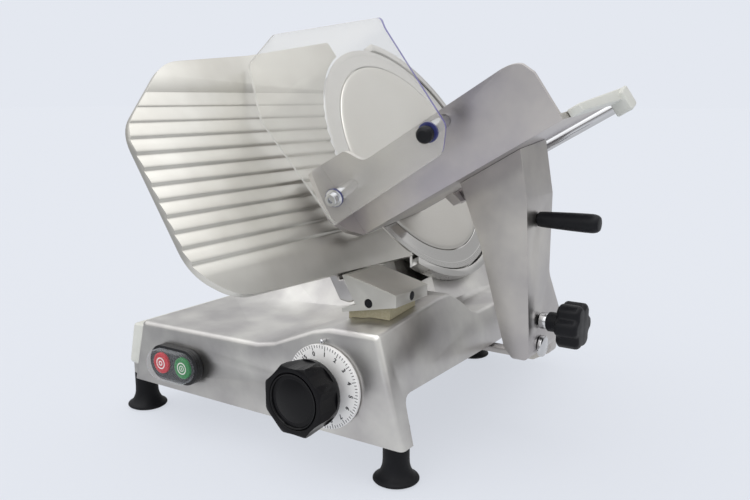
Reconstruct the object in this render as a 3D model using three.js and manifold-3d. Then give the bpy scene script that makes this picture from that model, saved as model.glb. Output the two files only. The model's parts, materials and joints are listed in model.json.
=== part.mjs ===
// Gravity-feed food slicer in millimetres, +Z up, standing on its four feet.
// The operator stands at -Y, the food carriage runs along Y on the +X side of the blade.
import * as THREE from 'three';
import { mergeVertices } from 'three/addons/utils/BufferGeometryUtils.js';
import Module from 'manifold-3d';

const wasm = await Module();
wasm.setup();

// Driving dimensions
const bladeTilt = Math.PI / 6;
const bladeRadius = 150;
const bladeAxisY = 239.4;
const bladeAxisHeight = 296;
const bladeAxisX = -125;
const clearance = 0.3;
const overrun = 20;
const castWall = 5;
const footHeight = 44;
const baseFront = -26;
const baseBack = 420;
const baseLeftTop = -329;
const baseTopHeight = 116;
const footFrontY = 0;
const footBackInset = 30;
const footBackY = baseBack - footBackInset;
const footRightX = 0;
const footRightBackX = -112;
const footLeftX = -356;
const carriageY = 52.2;
const trayLength = 241.5;
const trayDepth = 148;
const wallHeight = 62;
const plateThickness = 7;
const slideRodRadius = 9;
const slideRodX = -62;
const slideRodHeight = 78;
const gaugeTravel = 15;
const dialTravel = THREE.MathUtils.degToRad(345);
const dialX = -65;
const dialHeight = 92;
const pressRodRadius = 5.8;

// Directions of the tilted blade: out towards the food, up the blade plane, and back
const axisX = new THREE.Vector3(1, 0, 0);
const axisY = new THREE.Vector3(0, 1, 0);
const axisZ = new THREE.Vector3(0, 0, 1);
const faceOut = new THREE.Vector3(Math.cos(bladeTilt), 0, Math.sin(bladeTilt));
const faceUp = new THREE.Vector3(-Math.sin(bladeTilt), 0, Math.cos(bladeTilt));
const bladeCentre = new THREE.Vector3(bladeAxisX, bladeAxisY, bladeAxisHeight);

// Finishes
const finish = (color, metalness, roughness, opacity = 1) =>
  new THREE.MeshStandardMaterial({ color, metalness, roughness, opacity, transparent: opacity < 1 });
const castAluminium = finish('#bdbdb8', 0.9, 0.45);
const brushedAluminium = finish('#b3afab', 0.95, 0.35);
const polishedSteel = finish('#c9cacb', 1, 0.15);
const blackPlastic = finish('#16171a', 0, 0.45);
const creamPlastic = finish('#cfd1c8', 0, 0.5);
const clearAcrylic = finish('#dfe2f2', 0, 0.08, 0.3);

// Solids: joining and cutting closed geometries
function solidOf(geometry) {
  const bare = geometry.clone();
  bare.deleteAttribute('normal');
  bare.deleteAttribute('uv');
  const merged = mergeVertices(bare);
  const corners = merged.index.array;
  const kept = [];
  for (let i = 0; i < corners.length; i += 3) {
    const [a, b, c] = [corners[i], corners[i + 1], corners[i + 2]];
    if (a !== b && b !== c && c !== a) kept.push(a, b, c);
  }
  const vertProperties = Float32Array.from(merged.attributes.position.array);
  return new wasm.Manifold(new wasm.Mesh({ numProp: 3, vertProperties, triVerts: Uint32Array.from(kept) }));
}

function geometryOf(solid) {
  const mesh = solid.getMesh();
  const geometry = new THREE.BufferGeometry();
  geometry.setAttribute('position', new THREE.BufferAttribute(mesh.vertProperties, 3));
  geometry.setIndex(new THREE.BufferAttribute(mesh.triVerts, 1));
  geometry.computeVertexNormals();
  return geometry;
}

const joined = (...geometries) => geometryOf(geometries.map(solidOf).reduce((a, b) => a.add(b)));
const cut = (geometry, ...tools) =>
  geometryOf(tools.map(solidOf).reduce((a, b) => a.subtract(b), solidOf(geometry)));
const common = (...geometries) => geometryOf(geometries.map(solidOf).reduce((a, b) => a.intersect(b)));

// Outlines: corners are [x, y] or [x, y, radius]
function outline(corners) {
  const shape = new THREE.Shape();
  corners.forEach(([x, y, radius = 0], i) => {
    const corner = new THREE.Vector2(x, y);
    const before = new THREE.Vector2(...corners.at(i - 1).slice(0, 2)).sub(corner).normalize();
    const after = new THREE.Vector2(...corners[(i + 1) % corners.length].slice(0, 2)).sub(corner).normalize();
    const halfAngle = Math.acos(THREE.MathUtils.clamp(before.dot(after), -1, 1)) / 2;
    const reach = radius / Math.tan(halfAngle);
    const start = corner.clone().addScaledVector(before, reach);
    const end = corner.clone().addScaledVector(after, reach);
    if (i === 0) shape.moveTo(start.x, start.y);
    else shape.lineTo(start.x, start.y);
    if (radius > 0) shape.quadraticCurveTo(corner.x, corner.y, end.x, end.y);
  });
  shape.closePath();
  return shape;
}

function extruded(shape, depth, bevel = 0, steps = 4) {
  const geometry = new THREE.ExtrudeGeometry(shape, {
    depth: depth - 2 * bevel,
    curveSegments: steps,
    bevelEnabled: bevel > 0,
    bevelThickness: bevel,
    bevelSize: bevel,
    bevelOffset: -bevel,
    bevelSegments: 1,
  });
  return geometry.translate(0, 0, bevel);
}

// Prisms: an outline drawn across two axes and swept along the third, from low to high
const placed = (geometry, x, y, z) => geometry.applyMatrix4(new THREE.Matrix4().makeBasis(x, y, z));
const alongZ = (corners, low, high, bevel) =>
  extruded(outline(corners), high - low, bevel).translate(0, 0, low);
const alongX = (corners, low, high, bevel) =>
  placed(alongZ(corners, low, high, bevel), axisY, axisZ, axisX);
const alongY = (corners, low, high, bevel) =>
  placed(alongZ(corners, -high, -low, bevel), axisX, axisZ, axisY.clone().negate());

function box(x, y, z) {
  const geometry = new THREE.BoxGeometry(x[1] - x[0], y[1] - y[0], z[1] - z[0]);
  return geometry.translate((x[0] + x[1]) / 2, (y[0] + y[1]) / 2, (z[0] + z[1]) / 2);
}

// Turned pieces: a profile of [radius, height] about the local Z axis
function turned(profile, segments = 32) {
  const points = profile.map(([radius, height]) => new THREE.Vector2(radius, height));
  return new THREE.LatheGeometry(points, segments).rotateX(Math.PI / 2);
}

const rod = (radius, low, high, segments = 32) =>
  turned([[0, low], [radius, low], [radius, high], [0, high]], segments);
const tube = (bore, radius, low, high, segments = 32) =>
  turned([[bore, low], [radius, low], [radius, high], [bore, high], [bore, low]], segments);
const aimedX = (geometry) => placed(geometry, axisY, axisZ, axisX);
const aimedY = (geometry) => placed(geometry, axisX, axisZ.clone().negate(), axisY);
const aimedFront = (geometry) => placed(geometry, axisX, axisZ, axisY.clone().negate());

const ringPoint = (radius, angle) => [radius * Math.cos(angle), radius * Math.sin(angle)];
const smooth = THREE.MathUtils.smoothstep;

// Frames of the assembly
const machine = new THREE.Group();

function frameAt(origin, x, y, z, parent = machine) {
  const group = new THREE.Group();
  group.position.copy(origin);
  group.setRotationFromMatrix(new THREE.Matrix4().makeBasis(x, y, z));
  parent.add(group);
  return group;
}

function addPiece(parent, name, geometry, material, x = 0, y = 0, z = 0) {
  const piece = new THREE.Mesh(geometry, material);
  piece.name = name;
  piece.position.set(x, y, z);
  parent.add(piece);
  return piece;
}

// x runs back, y up the blade plane and z out to the food, from the centre of the blade
const bladeFrame = frameAt(bladeCentre, axisY, faceUp, faceOut);
const toMachine = (geometry, frame) => {
  frame.updateWorldMatrix(true, false);
  return geometry.clone().applyMatrix4(frame.matrixWorld);
};

// Blade housing: a shallow dish behind the blade with the bearing hub, and a guard ring on the far side
const dish = { radius: 138, wall: 4, floor: 5, seat: -34, rim: -6, hubRadius: 31, hubBack: -70 };
const guardRing = { radius: 161.4, bore: 152.4, back: -12, front: 1.2, web: 4 };
const guardStart = THREE.MathUtils.degToRad(-37);
const guardEnd = THREE.MathUtils.degToRad(172);
const bearing = { radius: 23.5, bore: 10.3, width: 14, rearFace: -66, frontFace: -46 };
const belt = { drop: 105, bladePulley: 40, motorPulley: 22.5, thickness: 3, low: -22, high: -11 };
const motor = { radius: 48, front: -39.6, back: -152, boss: 20, shaft: 6, bevel: 6 };

function makeBladeHousing() {
  const bearingBore = bearing.radius + clearance;
  const shell = turned([
    [bearingBore, bearing.rearFace - clearance],
    [bladeBoreShare * dish.hubRadius, bearing.rearFace - clearance],
    [bladeBoreShare * dish.hubRadius, dish.hubBack],
    [dish.hubRadius, dish.hubBack],
    [dish.hubRadius, dish.hubBack / 2 + dish.seat / 2 - dish.floor],
    [dish.hubRadius * hubFootShare, dish.seat],
    [dish.radius - dish.floor, dish.seat],
    [dish.radius, dish.seat + dish.floor],
    [dish.radius, dish.rim],
    [dish.radius - dish.wall, dish.rim],
    [dish.radius - dish.wall, dish.seat + dish.floor + dish.wall],
    [dish.radius - 2 * dish.wall, dish.seat + dish.floor],
    [bearingBore, dish.seat + dish.floor],
    [bearingBore, bearing.rearFace - clearance],
  ], 48);
  const ring = turned([
    [dish.radius - dish.wall, guardRing.back],
    [guardRing.radius, guardRing.back],
    [guardRing.radius, guardRing.front],
    [guardRing.bore, guardRing.front],
    [guardRing.bore, guardRing.back + guardRing.web],
    [dish.radius - dish.wall, guardRing.back + guardRing.web],
    [dish.radius - dish.wall, guardRing.back],
  ], 72);
  const sector = [[0, 0]];
  const sectorSteps = 10;
  for (let i = 0; i <= sectorSteps; i++) {
    const angle = THREE.MathUtils.lerp(guardStart, guardEnd, i / sectorSteps) - Math.PI / 2;
    sector.push(ringPoint(2 * guardRing.radius, angle));
  }
  const guard = common(ring, alongZ(sector, guardRing.back - overrun, guardRing.front + overrun));
  const shaftHole = rod(motor.shaft + castWall, dish.seat - overrun, dish.seat + dish.floor + overrun, 24);
  return cut(joined(shell, guard), shaftHole.translate(0, -belt.drop, 0));
}
const bladeBoreShare = 0.5;
const hubFootShare = 1.45;

addPiece(bladeFrame, 'blade_housing', makeBladeHousing(), castAluminium);

// Blade: a hollow-ground disc on a pulley hub and a hollow spindle in two ball bearings
const blade = { bore: 20, coverRadius: 126, thickness: 3, recess: -4, edgeBack: -1.4 };
const spindle = { radius: 10, bore: 4.4, front: -2, back: -72 };
addPiece(bladeFrame, 'blade', turned([
  [blade.bore, blade.recess - blade.thickness],
  [blade.coverRadius, blade.recess - blade.thickness + 0.5 * blade.thickness],
  [bladeRadius, blade.edgeBack],
  [bladeRadius, blade.edgeBack / 2],
  [blade.coverRadius + 2 * clearance + 1, 0],
  [blade.coverRadius + 2 * clearance, blade.recess],
  [blade.bore, blade.recess],
  [blade.bore, blade.recess - blade.thickness],
], 64), polishedSteel);

const cover = { back: blade.recess + clearance, front: 1.2, bevel: 1.5, hub: 14, hubDepth: 1 };
addPiece(bladeFrame, 'blade_cover', turned([
  [0, cover.back],
  [blade.coverRadius, cover.back],
  [blade.coverRadius, cover.front - cover.bevel],
  [blade.coverRadius - cover.bevel, cover.front],
  [0, cover.front],
], 56), castAluminium);

const pulley = { back: -24, front: blade.recess - blade.thickness - clearance, flange: 1.5, groove: 1.5 };
addPiece(bladeFrame, 'blade_pulley', turned([
  [spindle.radius + clearance, pulley.back],
  [belt.bladePulley + pulley.flange, pulley.back],
  [belt.bladePulley + pulley.flange, belt.low - clearance],
  [belt.bladePulley, belt.low - clearance],
  [belt.bladePulley, belt.high + clearance],
  [belt.bladePulley, pulley.front],
  [blade.bore - clearance, pulley.front],
  [blade.bore - clearance, blade.recess],
  [spindle.radius + clearance, blade.recess],
  [spindle.radius + clearance, pulley.back],
], 28), castAluminium);

addPiece(bladeFrame, 'blade_spindle', tube(
  spindle.bore, spindle.radius, spindle.back, blade.recess, 16,
), polishedSteel);
for (const [name, face] of [['rear_bearing', bearing.rearFace], ['front_bearing', bearing.frontFace]]) {
  const ring = tube(bearing.bore, bearing.radius, face, face + bearing.width, 20);
  addPiece(bladeFrame, name, ring, polishedSteel);
}

// Cover tie rod: a long rod through the hollow spindle, drawn up by a knob at the back
const tieRod = { radius: 4, back: -92, knobRadius: 17, knobFront: -78, knobBack: -100, knobWall: 2 };
addPiece(bladeFrame, 'cover_tie_rod', rod(
  tieRod.radius, tieRod.back, cover.back - clearance, 16,
), polishedSteel);
addPiece(bladeFrame, 'cover_knob', cut(
  turned([
    [0, tieRod.knobBack],
    [tieRod.knobRadius - tieRod.knobWall, tieRod.knobBack],
    [tieRod.knobRadius, tieRod.knobBack + tieRod.knobWall],
    [tieRod.knobRadius, tieRod.knobFront - tieRod.knobWall],
    [tieRod.knobRadius / 2, tieRod.knobFront],
    [tieRod.knobRadius / 2, spindle.back - clearance],
    [0, spindle.back - clearance],
  ], 20),
  rod(tieRod.radius + clearance, tieRod.back - clearance, 0, 16),
), blackPlastic);

// Slice deflector: a thin curved sheet round the front of the dish
const deflector = { thickness: 1.5, low: -38, high: -8 };
function makeDeflector() {
  const inner = dish.radius + clearance;
  const from = THREE.MathUtils.degToRad(-158) - Math.PI / 2;
  const to = THREE.MathUtils.degToRad(-62) - Math.PI / 2;
  const points = [];
  const steps = 16;
  const angleAt = (i) => THREE.MathUtils.lerp(from, to, i / steps);
  for (let i = 0; i <= steps; i++) points.push(ringPoint(inner + deflector.thickness, angleAt(i)));
  for (let i = steps; i >= 0; i--) points.push(ringPoint(inner, angleAt(i)));
  return alongZ(points, deflector.low, deflector.high);
}
addPiece(bladeFrame, 'slice_deflector', makeDeflector(), polishedSteel);

// Drive: a motor along the blade's axis in the base, and a ribbed belt up to the blade pulley
const motorFrame = new THREE.Group();
motorFrame.position.set(0, -belt.drop, 0);
bladeFrame.add(motorFrame);
addPiece(motorFrame, 'drive_motor', turned([
  [0, motor.back],
  [motor.radius - motor.bevel, motor.back],
  [motor.radius, motor.back + motor.bevel],
  [motor.radius, motor.front - motor.bevel],
  [motor.radius - motor.bevel, motor.front],
  [motor.boss, motor.front],
  [motor.boss, dish.seat - clearance],
  [motor.shaft + clearance, dish.seat - clearance],
  [motor.shaft + clearance, motor.front - motor.boss],
  [0, motor.front - motor.boss],
], 28), castAluminium);
addPiece(motorFrame, 'motor_pulley', turned([
  [0, motor.front - motor.boss + clearance],
  [motor.shaft, motor.front - motor.boss + clearance],
  [motor.shaft, pulley.back],
  [belt.motorPulley + pulley.flange, pulley.back],
  [belt.motorPulley + pulley.flange, belt.low - clearance],
  [belt.motorPulley, belt.low - clearance],
  [belt.motorPulley, belt.high + clearance],
  [belt.motorPulley, pulley.front - clearance],
  [0, pulley.front - clearance],
], 20), castAluminium);

function beltOutline(extra) {
  const top = belt.bladePulley + extra;
  const bottom = belt.motorPulley + extra;
  const lean = Math.asin((top - bottom) / belt.drop);
  const shape = new THREE.Shape();
  shape.absarc(0, 0, top, -lean, Math.PI + lean, false);
  shape.absarc(0, -belt.drop, bottom, Math.PI + lean, 2 * Math.PI - lean, false);
  shape.closePath();
  return shape;
}
addPiece(bladeFrame, 'drive_belt', cut(
  extruded(beltOutline(clearance + belt.thickness), belt.high - belt.low, 0, 14).translate(0, 0, belt.low),
  extruded(beltOutline(clearance), belt.high - belt.low + 2 * overrun, 0, 14)
    .translate(0, 0, belt.low - overrun),
), blackPlastic);

// Base casting: a skin lofted front to back, hollowed from below
const base = {
  edgeRadius: 5, leftDraft: 17, draftHeight: 72, rightTop: -4, rightTopHeight: 148, rightSlopeShare: 0.262,
  leftRise: 7, shoulderRise: 28.5, shoulderFrom: -155, shoulderTo: -55,
  ridgeFrom: -75, ridgeTo: -45, ridgeRise: 10.5, ridgeCrestY: 88, ridgePeakY: 117, ridgeEndY: 172,
  ridgeDrop: 31,
  backTaper: 24, backTaperFrom: 205, humpHeight: 236, humpX: -130,
  humpFrontFrom: 110, humpFrontTo: 170, humpBackFrom: 310, humpBackTo: 370,
  partition: -88, partitionWall: 4, sideEdge: 90.5, legBack: -9, legTop: -4, legFillet: 12, pillarDepth: 12,
};
const backPillar = baseBack - base.pillarDepth;
const seatPlane = faceOut.dot(bladeCentre) + dish.seat - clearance;

const humpSlope = (base.humpHeight - baseTopHeight) / (base.humpX - baseLeftTop);

function topHeight(x, y) {
  const along = (x - baseLeftTop) / -baseLeftTop;
  const shoulder = base.leftRise * along + base.shoulderRise * smooth(x, base.shoulderFrom, base.shoulderTo);
  const rise = base.ridgeRise * THREE.MathUtils.clamp((y - baseFront) / (base.ridgeCrestY - baseFront), 0, 1);
  const drop = base.ridgeDrop * smooth(y, base.ridgePeakY, base.ridgeEndY);
  const plain = baseTopHeight + shoulder + (rise - drop) * smooth(x, base.ridgeFrom, base.ridgeTo);
  const humpLeft = baseTopHeight + (x - baseLeftTop) * humpSlope;
  const humpRight = (seatPlane - x * faceOut.x) / faceOut.z;
  const window = smooth(y, base.humpFrontFrom, base.humpFrontTo)
    * (1 - smooth(y, base.humpBackFrom, base.humpBackTo));
  return plain + Math.max(0, Math.min(humpLeft, humpRight) - plain) * window;
}

const leftSide = (z) => baseLeftTop - base.leftDraft * (baseTopHeight - z) / base.draftHeight;
const rightTopX = (y) => base.rightTop - base.backTaper * smooth(y, base.backTaperFrom, baseBack);
const rightSide = (y, z) => rightTopX(y) + (base.rightTopHeight - z) * base.rightSlopeShare;

const leftTopShares = [0, 0.2, 0.45, 0.7, 0.88];
const rightTopShares = [0, 0.22, 0.42, 0.58, 0.75, 1];
const cornerShares = [0, 1 / 3, 2 / 3];

// One section of the skin at y, drawn in from the outside by inset, counterclockwise seen from the front
function baseSection(y, inset, bottom) {
  const radius = base.edgeRadius;
  const top = (x) => topHeight(x, y) - inset;
  const leftEdge = baseLeftTop + inset;
  const rightEdge = rightTopX(y) - inset;
  const leftShoulder = top(leftEdge + radius) - radius;
  const rightShoulder = top(rightEdge - radius) - radius;
  const rightAtShoulder = rightSide(y, rightShoulder) - inset;
  const points = [[leftSide(bottom) + inset, bottom], [rightSide(y, bottom) - inset, bottom]];
  for (const share of cornerShares) {
    const angle = share * Math.PI / 2;
    const x = rightAtShoulder - radius * (1 - Math.cos(angle));
    points.push([x, rightShoulder + radius * Math.sin(angle)]);
  }
  const rightStart = rightAtShoulder - radius;
  for (const share of rightTopShares.toReversed()) {
    const x = THREE.MathUtils.lerp(base.humpX, rightStart, share);
    points.push([x, top(x)]);
  }
  for (const share of leftTopShares.toReversed()) {
    const x = THREE.MathUtils.lerp(leftEdge + radius, base.humpX, share);
    points.push([x, top(x)]);
  }
  for (const share of cornerShares.toReversed()) {
    const angle = share * Math.PI / 2;
    points.push([leftEdge + radius * (1 - Math.cos(angle)), leftShoulder + radius * Math.sin(angle)]);
  }
  return points.map(([x, z]) => new THREE.Vector3(x, y, z));
}

function loft(sections) {
  const positions = sections.flat().flatMap((point) => point.toArray());
  const count = sections[0].length;
  const indices = [];
  for (let i = 0; i + 1 < sections.length; i++) {
    for (let j = 0; j < count; j++) {
      const a = i * count + j;
      const b = i * count + (j + 1) % count;
      indices.push(a, b + count, b, a, a + count, b + count);
    }
  }
  const last = (sections.length - 1) * count;
  const flat = (section) => section.map((point) => new THREE.Vector2(point.x, point.z));
  for (const [a, b, c] of THREE.ShapeUtils.triangulateShape(flat(sections[0]), [])) indices.push(a, b, c);
  for (const [a, b, c] of THREE.ShapeUtils.triangulateShape(flat(sections.at(-1)), [])) {
    indices.push(last + a, last + c, last + b);
  }
  const geometry = new THREE.BufferGeometry();
  geometry.setAttribute('position', new THREE.Float32BufferAttribute(positions, 3));
  geometry.setIndex(indices);
  return geometry;
}

const baseStations = [0, 60, 100, 125, 143, 158, 172, 195, 230, 290, 320, 337, 355];
const baseStationShares = baseStations.map((y) => y / 387);

function baseSkin(inset, bottom) {
  const front = baseFront + inset;
  const back = baseBack - inset;
  const radius = base.edgeRadius;
  const sections = [];
  for (const share of [0, ...cornerShares.slice(1)]) {
    const draw = radius * (1 - Math.sin(share * Math.PI / 2));
    sections.push(baseSection(front + radius * (1 - Math.cos(share * Math.PI / 2)), inset + draw, bottom));
  }
  for (const share of baseStationShares) {
    sections.push(baseSection(THREE.MathUtils.lerp(front + radius, back - radius, share), inset, bottom));
  }
  for (const share of [1, ...cornerShares.slice(1).toReversed(), 0]) {
    const draw = radius * (1 - Math.sin(share * Math.PI / 2));
    sections.push(baseSection(back - radius * (1 - Math.cos(share * Math.PI / 2)), inset + draw, bottom));
  }
  return loft(sections);
}

// Neck of the base that carries the guard ring, drawn in the blade's frame
const neck = { topY: -146, frontTop: -62, backTop: 84, bottomY: -200, frontBottom: -84, backBottom: 128 };
function makeNeck(extra) {
  return toMachine(alongZ([
    [neck.frontTop + extra, neck.topY - extra, 0],
    [neck.frontBottom + extra, neck.bottomY, 0],
    [neck.backBottom - extra, neck.bottomY, 0],
    [neck.backTop - extra, neck.topY - extra, 0],
  ], dish.seat - castWall, guardRing.back - clearance - extra), bladeFrame);
}

// Space kept free for the housing, grown by extra on every side
function housingSpace(extra) {
  const inDish = rod(dish.radius + clearance + extra, dish.seat - clearance - extra, overrun, 64);
  const inRing = rod(
    guardRing.radius + clearance + extra, guardRing.back - clearance - extra, 2 * overrun, 64);
  const hub = rod(dish.hubRadius + clearance + extra, dish.hubBack - clearance - extra, overrun, 32);
  const knobSpace = rod(
    tieRod.knobRadius + clearance + extra, tieRod.knobBack - clearance - extra, overrun, 24);
  return toMachine(joined(inDish, inRing, hub, knobSpace), bladeFrame);
}

const footBoss = { radius: 13.3, height: 12 };
const rodLug = { front: 0, back: 16, blind: 4, half: 16, wall: 7 };
const guideBar = {
  left: -50, right: -38, low: 97, high: 104, lugFront: 60, lugBack: 68, lugReach: 62, lap: 2,
};
const gaugeBar = {
  radius: 7, x: -47, y: 37, height: 124.7, reachLeft: 40, reachRight: 36, boss: 13, seat: 8,
};
const gaugeCentre = new THREE.Vector3(gaugeBar.x, gaugeBar.y, gaugeBar.height);
const gaugeFrame = frameAt(gaugeCentre, axisY, axisZ, axisX);
const stem = { left: -56, right: -38, front: 28, back: 46 };
const stemSlot = (low, high) => box(
  [stem.left - gaugeTravel - 2 * clearance, stem.right + 2 * clearance],
  [stem.front - 2 * clearance, stem.back + 2 * clearance],
  [low, high],
);
const switchPlate = { x: -268, z: 77, width: 74, height: 40, depth: 10, buttonPitch: 33, button: 12 };
const gland = { x: -300, z: 84, radius: 9, nut: 12, bore: 4.5, reach: 22 };

function makeBase() {
  const bottom = footHeight;
  const outer = solidOf(baseSkin(0, bottom)).add(solidOf(makeNeck(0)));
  const hollow = solidOf(baseSkin(castWall, bottom - overrun)).add(solidOf(makeNeck(castWall)));
  const left = hollow.intersect(solidOf(box(
    [baseLeftTop - 2 * overrun, base.partition], [baseFront, baseBack], [0, 2 * base.humpHeight])));
  const right = hollow.intersect(solidOf(box(
    [base.partition + base.partitionWall, 3 * overrun],
    [baseFront, backPillar],
    [0, 2 * base.humpHeight],
  )));
  const sideCut = alongX([[base.legBack, 0], [backPillar, 0], [backPillar, base.sideEdge],
    [base.legTop, base.sideEdge, base.legFillet]], base.partition + base.partitionWall, 4 * overrun);
  const keptWall = solidOf(housingSpace(castWall));
  let casting = outer.subtract(left.subtract(keptWall)).subtract(right.subtract(keptWall));
  casting = casting.subtract(solidOf(sideCut)).subtract(solidOf(housingSpace(0)));

  const additions = [
    box([footRightX - footBoss.radius, footRightX + footBoss.radius],
      [baseFront + castWall / 2, footFrontY], [bottom, bottom + footBoss.height]),
    box([footLeftX, leftSide(bottom) + castWall / 2],
      [footFrontY - footBoss.radius, footFrontY + footBoss.radius], [bottom, bottom + footBoss.height]),
    box([footLeftX, leftSide(bottom) + castWall / 2],
      [footBackY - footBoss.radius, footBackY + footBoss.radius], [bottom, bottom + footBoss.height]),
    box([footRightBackX - footBoss.radius, footRightBackX + footBoss.radius],
      [footBackY, baseBack - castWall / 2], [bottom, bottom + footBoss.height]),
    box([base.partition, slideRodX + rodLug.half], [rodLug.front, rodLug.back],
      [slideRodHeight - rodLug.half, slideRodHeight + rodLug.half]),
  ];
  for (const [x, y] of [[footRightX, footFrontY], [footLeftX, footFrontY],
    [footLeftX, footBackY], [footRightBackX, footBackY]]) {
    additions.push(rod(footBoss.radius, bottom, bottom + footBoss.height, 24).translate(x, y, 0));
  }
  for (const piece of additions) casting = casting.add(solidOf(piece));

  const barBosses = joined(
    rod(gaugeBar.boss, -gaugeBar.reachLeft - gaugeBar.seat, -gaugeBar.reachLeft + gaugeBar.seat, 20),
  );
  const rightBoss = rod(gaugeBar.boss, gaugeBar.reachRight - gaugeBar.seat / 4,
    gaugeBar.reachRight + 2 * gaugeBar.seat, 20);
  for (const boss of [barBosses, rightBoss]) {
    casting = casting.add(solidOf(toMachine(boss, gaugeFrame)).intersect(outer));
  }
  const barLug = box([guideBar.left - guideBar.lap, guideBar.left + guideBar.lugReach],
    [guideBar.lugFront, guideBar.lugBack], [guideBar.low - guideBar.lap, guideBar.high + 2 * guideBar.lap]);
  casting = casting.add(solidOf(barLug).intersect(outer));

  const wallHole = (radius, x, z) =>
    aimedY(rod(radius, baseFront - overrun, baseFront + castWall + overrun / 4, 20)).translate(x, 0, z);
  const holes = [
    toMachine(rod(motor.boss + clearance, dish.seat - castWall - overrun, dish.seat + overrun, 32)
      .translate(0, -belt.drop, 0), bladeFrame),
    toMachine(rod(motor.radius + 2 * clearance, motor.back - clearance, motor.front, 40)
      .translate(0, -belt.drop, 0), bladeFrame),
    aimedY(rod(dial.cam + 1, dial.camFront - 1, dial.camBack + 1, 32)).translate(dialX, 0, dialHeight),
    toMachine(rod(gaugeBar.radius + clearance, -gaugeBar.reachLeft - clearance,
      gaugeBar.reachRight + gaugeBar.seat, 20), gaugeFrame),
    aimedY(rod(slideRodRadius + clearance, rodLug.blind - clearance, baseBack - castWall, 20))
      .translate(slideRodX, 0, slideRodHeight),
    wallHole(dial.spindle + clearance, dialX, dialHeight),
    wallHole(switchPlate.button + clearance, switchPlate.x - switchPlate.buttonPitch / 2, switchPlate.z),
    wallHole(switchPlate.button + clearance, switchPlate.x + switchPlate.buttonPitch / 2, switchPlate.z),
    stemSlot(gaugeBar.height, gaugeBar.height + 2 * overrun),
    aimedY(rod(gland.radius + clearance, baseBack - castWall - overrun, baseBack + overrun, 24))
      .translate(gland.x, 0, gland.z),
  ];
  for (const hole of holes) casting = casting.subtract(solidOf(hole));
  return geometryOf(casting);
}

const dial = {
  radius: 43, thickness: 5, spindle: 6, cam: 38, camFront: -15, camBack: -6, groove: 3.3, pinRadius: 3,
};
addPiece(machine, 'base_casting', makeBase(), castAluminium);

// Feet: black moulded feet with a wide flange
const foot = {
  sole: 20, soleHeight: 2, flange: 23, flangeHeight: 4.5, waist: 13.2, shoulder: 16, shoulderHeight: 11,
  neckHeight: 18,
};
for (const [name, x, y] of [
  ['front_right_foot', footRightX, footFrontY], ['front_left_foot', footLeftX, footFrontY],
  ['rear_left_foot', footLeftX, footBackY], ['rear_right_foot', footRightBackX, footBackY],
]) {
  addPiece(machine, name, turned([
    [0, 0], [foot.sole, 0], [foot.flange, foot.soleHeight], [foot.flange, foot.flangeHeight],
    [foot.shoulder, foot.shoulderHeight],
    [foot.waist, foot.neckHeight], [foot.waist, footHeight - clearance], [0, footHeight - clearance],
  ], 18), blackPlastic, x, y, 0);
}

// Bottom plate: sheet steel that closes the motor compartment from below
const bottomPlate = { thickness: 2 };
const bottomPlateLeft = leftSide(footHeight) + 1.5 * castWall;
addPiece(machine, 'bottom_plate', alongZ([
  [bottomPlateLeft, baseFront + castWall + clearance, base.edgeRadius],
  [base.partition - clearance, baseFront + castWall + clearance],
  [base.partition - clearance, footBackY - footBoss.radius - clearance],
  [footRightBackX - footBoss.radius - clearance, footBackY - footBoss.radius - clearance],
  [footRightBackX - footBoss.radius - clearance, baseBack - castWall - clearance],
  [bottomPlateLeft, baseBack - castWall - clearance, base.edgeRadius],
], footHeight, footHeight + bottomPlate.thickness), brushedAluminium);

// Side cover: a pale moulded cover on the left side of the base
const sideCover = { top: 109, topX: -350, low: 59, lowX: -361, inset: 6 };
const sideCoverGap = 0.9;
addPiece(machine, 'side_cover', alongY([
  [sideCover.lowX, sideCover.low, castWall],
  [leftSide(sideCover.low) - sideCoverGap, sideCover.low],
  [leftSide(sideCover.top) - sideCoverGap, sideCover.top],
  [sideCover.topX, sideCover.top, castWall],
], baseFront + sideCover.inset, baseBack - sideCover.inset, 2), creamPlastic);

// Cable gland in the back wall
addPiece(machine, 'cable_gland', aimedY(turned([
  [gland.bore, baseBack - 2 * castWall],
  [gland.radius, baseBack - 2 * castWall],
  [gland.radius, baseBack + clearance],
  [gland.nut, baseBack + clearance],
  [gland.nut, baseBack + gland.reach / 2],
  [gland.radius, baseBack + gland.reach / 2],
  [gland.bore + 1, baseBack + gland.reach],
  [gland.bore, baseBack + gland.reach],
  [gland.bore, baseBack - 2 * castWall],
], 14)).translate(gland.x, 0, gland.z), blackPlastic);

// Switch: bezel, contact block, two push buttons and a clear cover
function stadium(width, height, x = 0, z = 0) {
  const shape = new THREE.Shape();
  const half = height / 2;
  const straight = width / 2 - half;
  shape.absarc(x + straight, z, half, -Math.PI / 2, Math.PI / 2, false);
  shape.absarc(x - straight, z, half, Math.PI / 2, 3 * Math.PI / 2, false);
  shape.closePath();
  return shape;
}
const frontPlate = (shape, near, far, bevel = 0) =>
  aimedFront(extruded(shape, near - far, bevel, 8).translate(0, 0, -near));
const switchFrame = new THREE.Group();
switchFrame.position.set(switchPlate.x, 0, switchPlate.z);
machine.add(switchFrame);
const bezelBack = baseFront - clearance;
const bezelFront = bezelBack - switchPlate.depth;
const buttonHole = (side) => aimedY(rod(switchPlate.button + clearance, bezelFront - overrun, 0, 24))
  .translate(side * switchPlate.buttonPitch / 2, 0, 0);
addPiece(switchFrame, 'switch_bezel', cut(
  frontPlate(stadium(switchPlate.width, switchPlate.height), bezelBack, bezelFront, 1),
  buttonHole(-1), buttonHole(1),
), blackPlastic);

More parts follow.
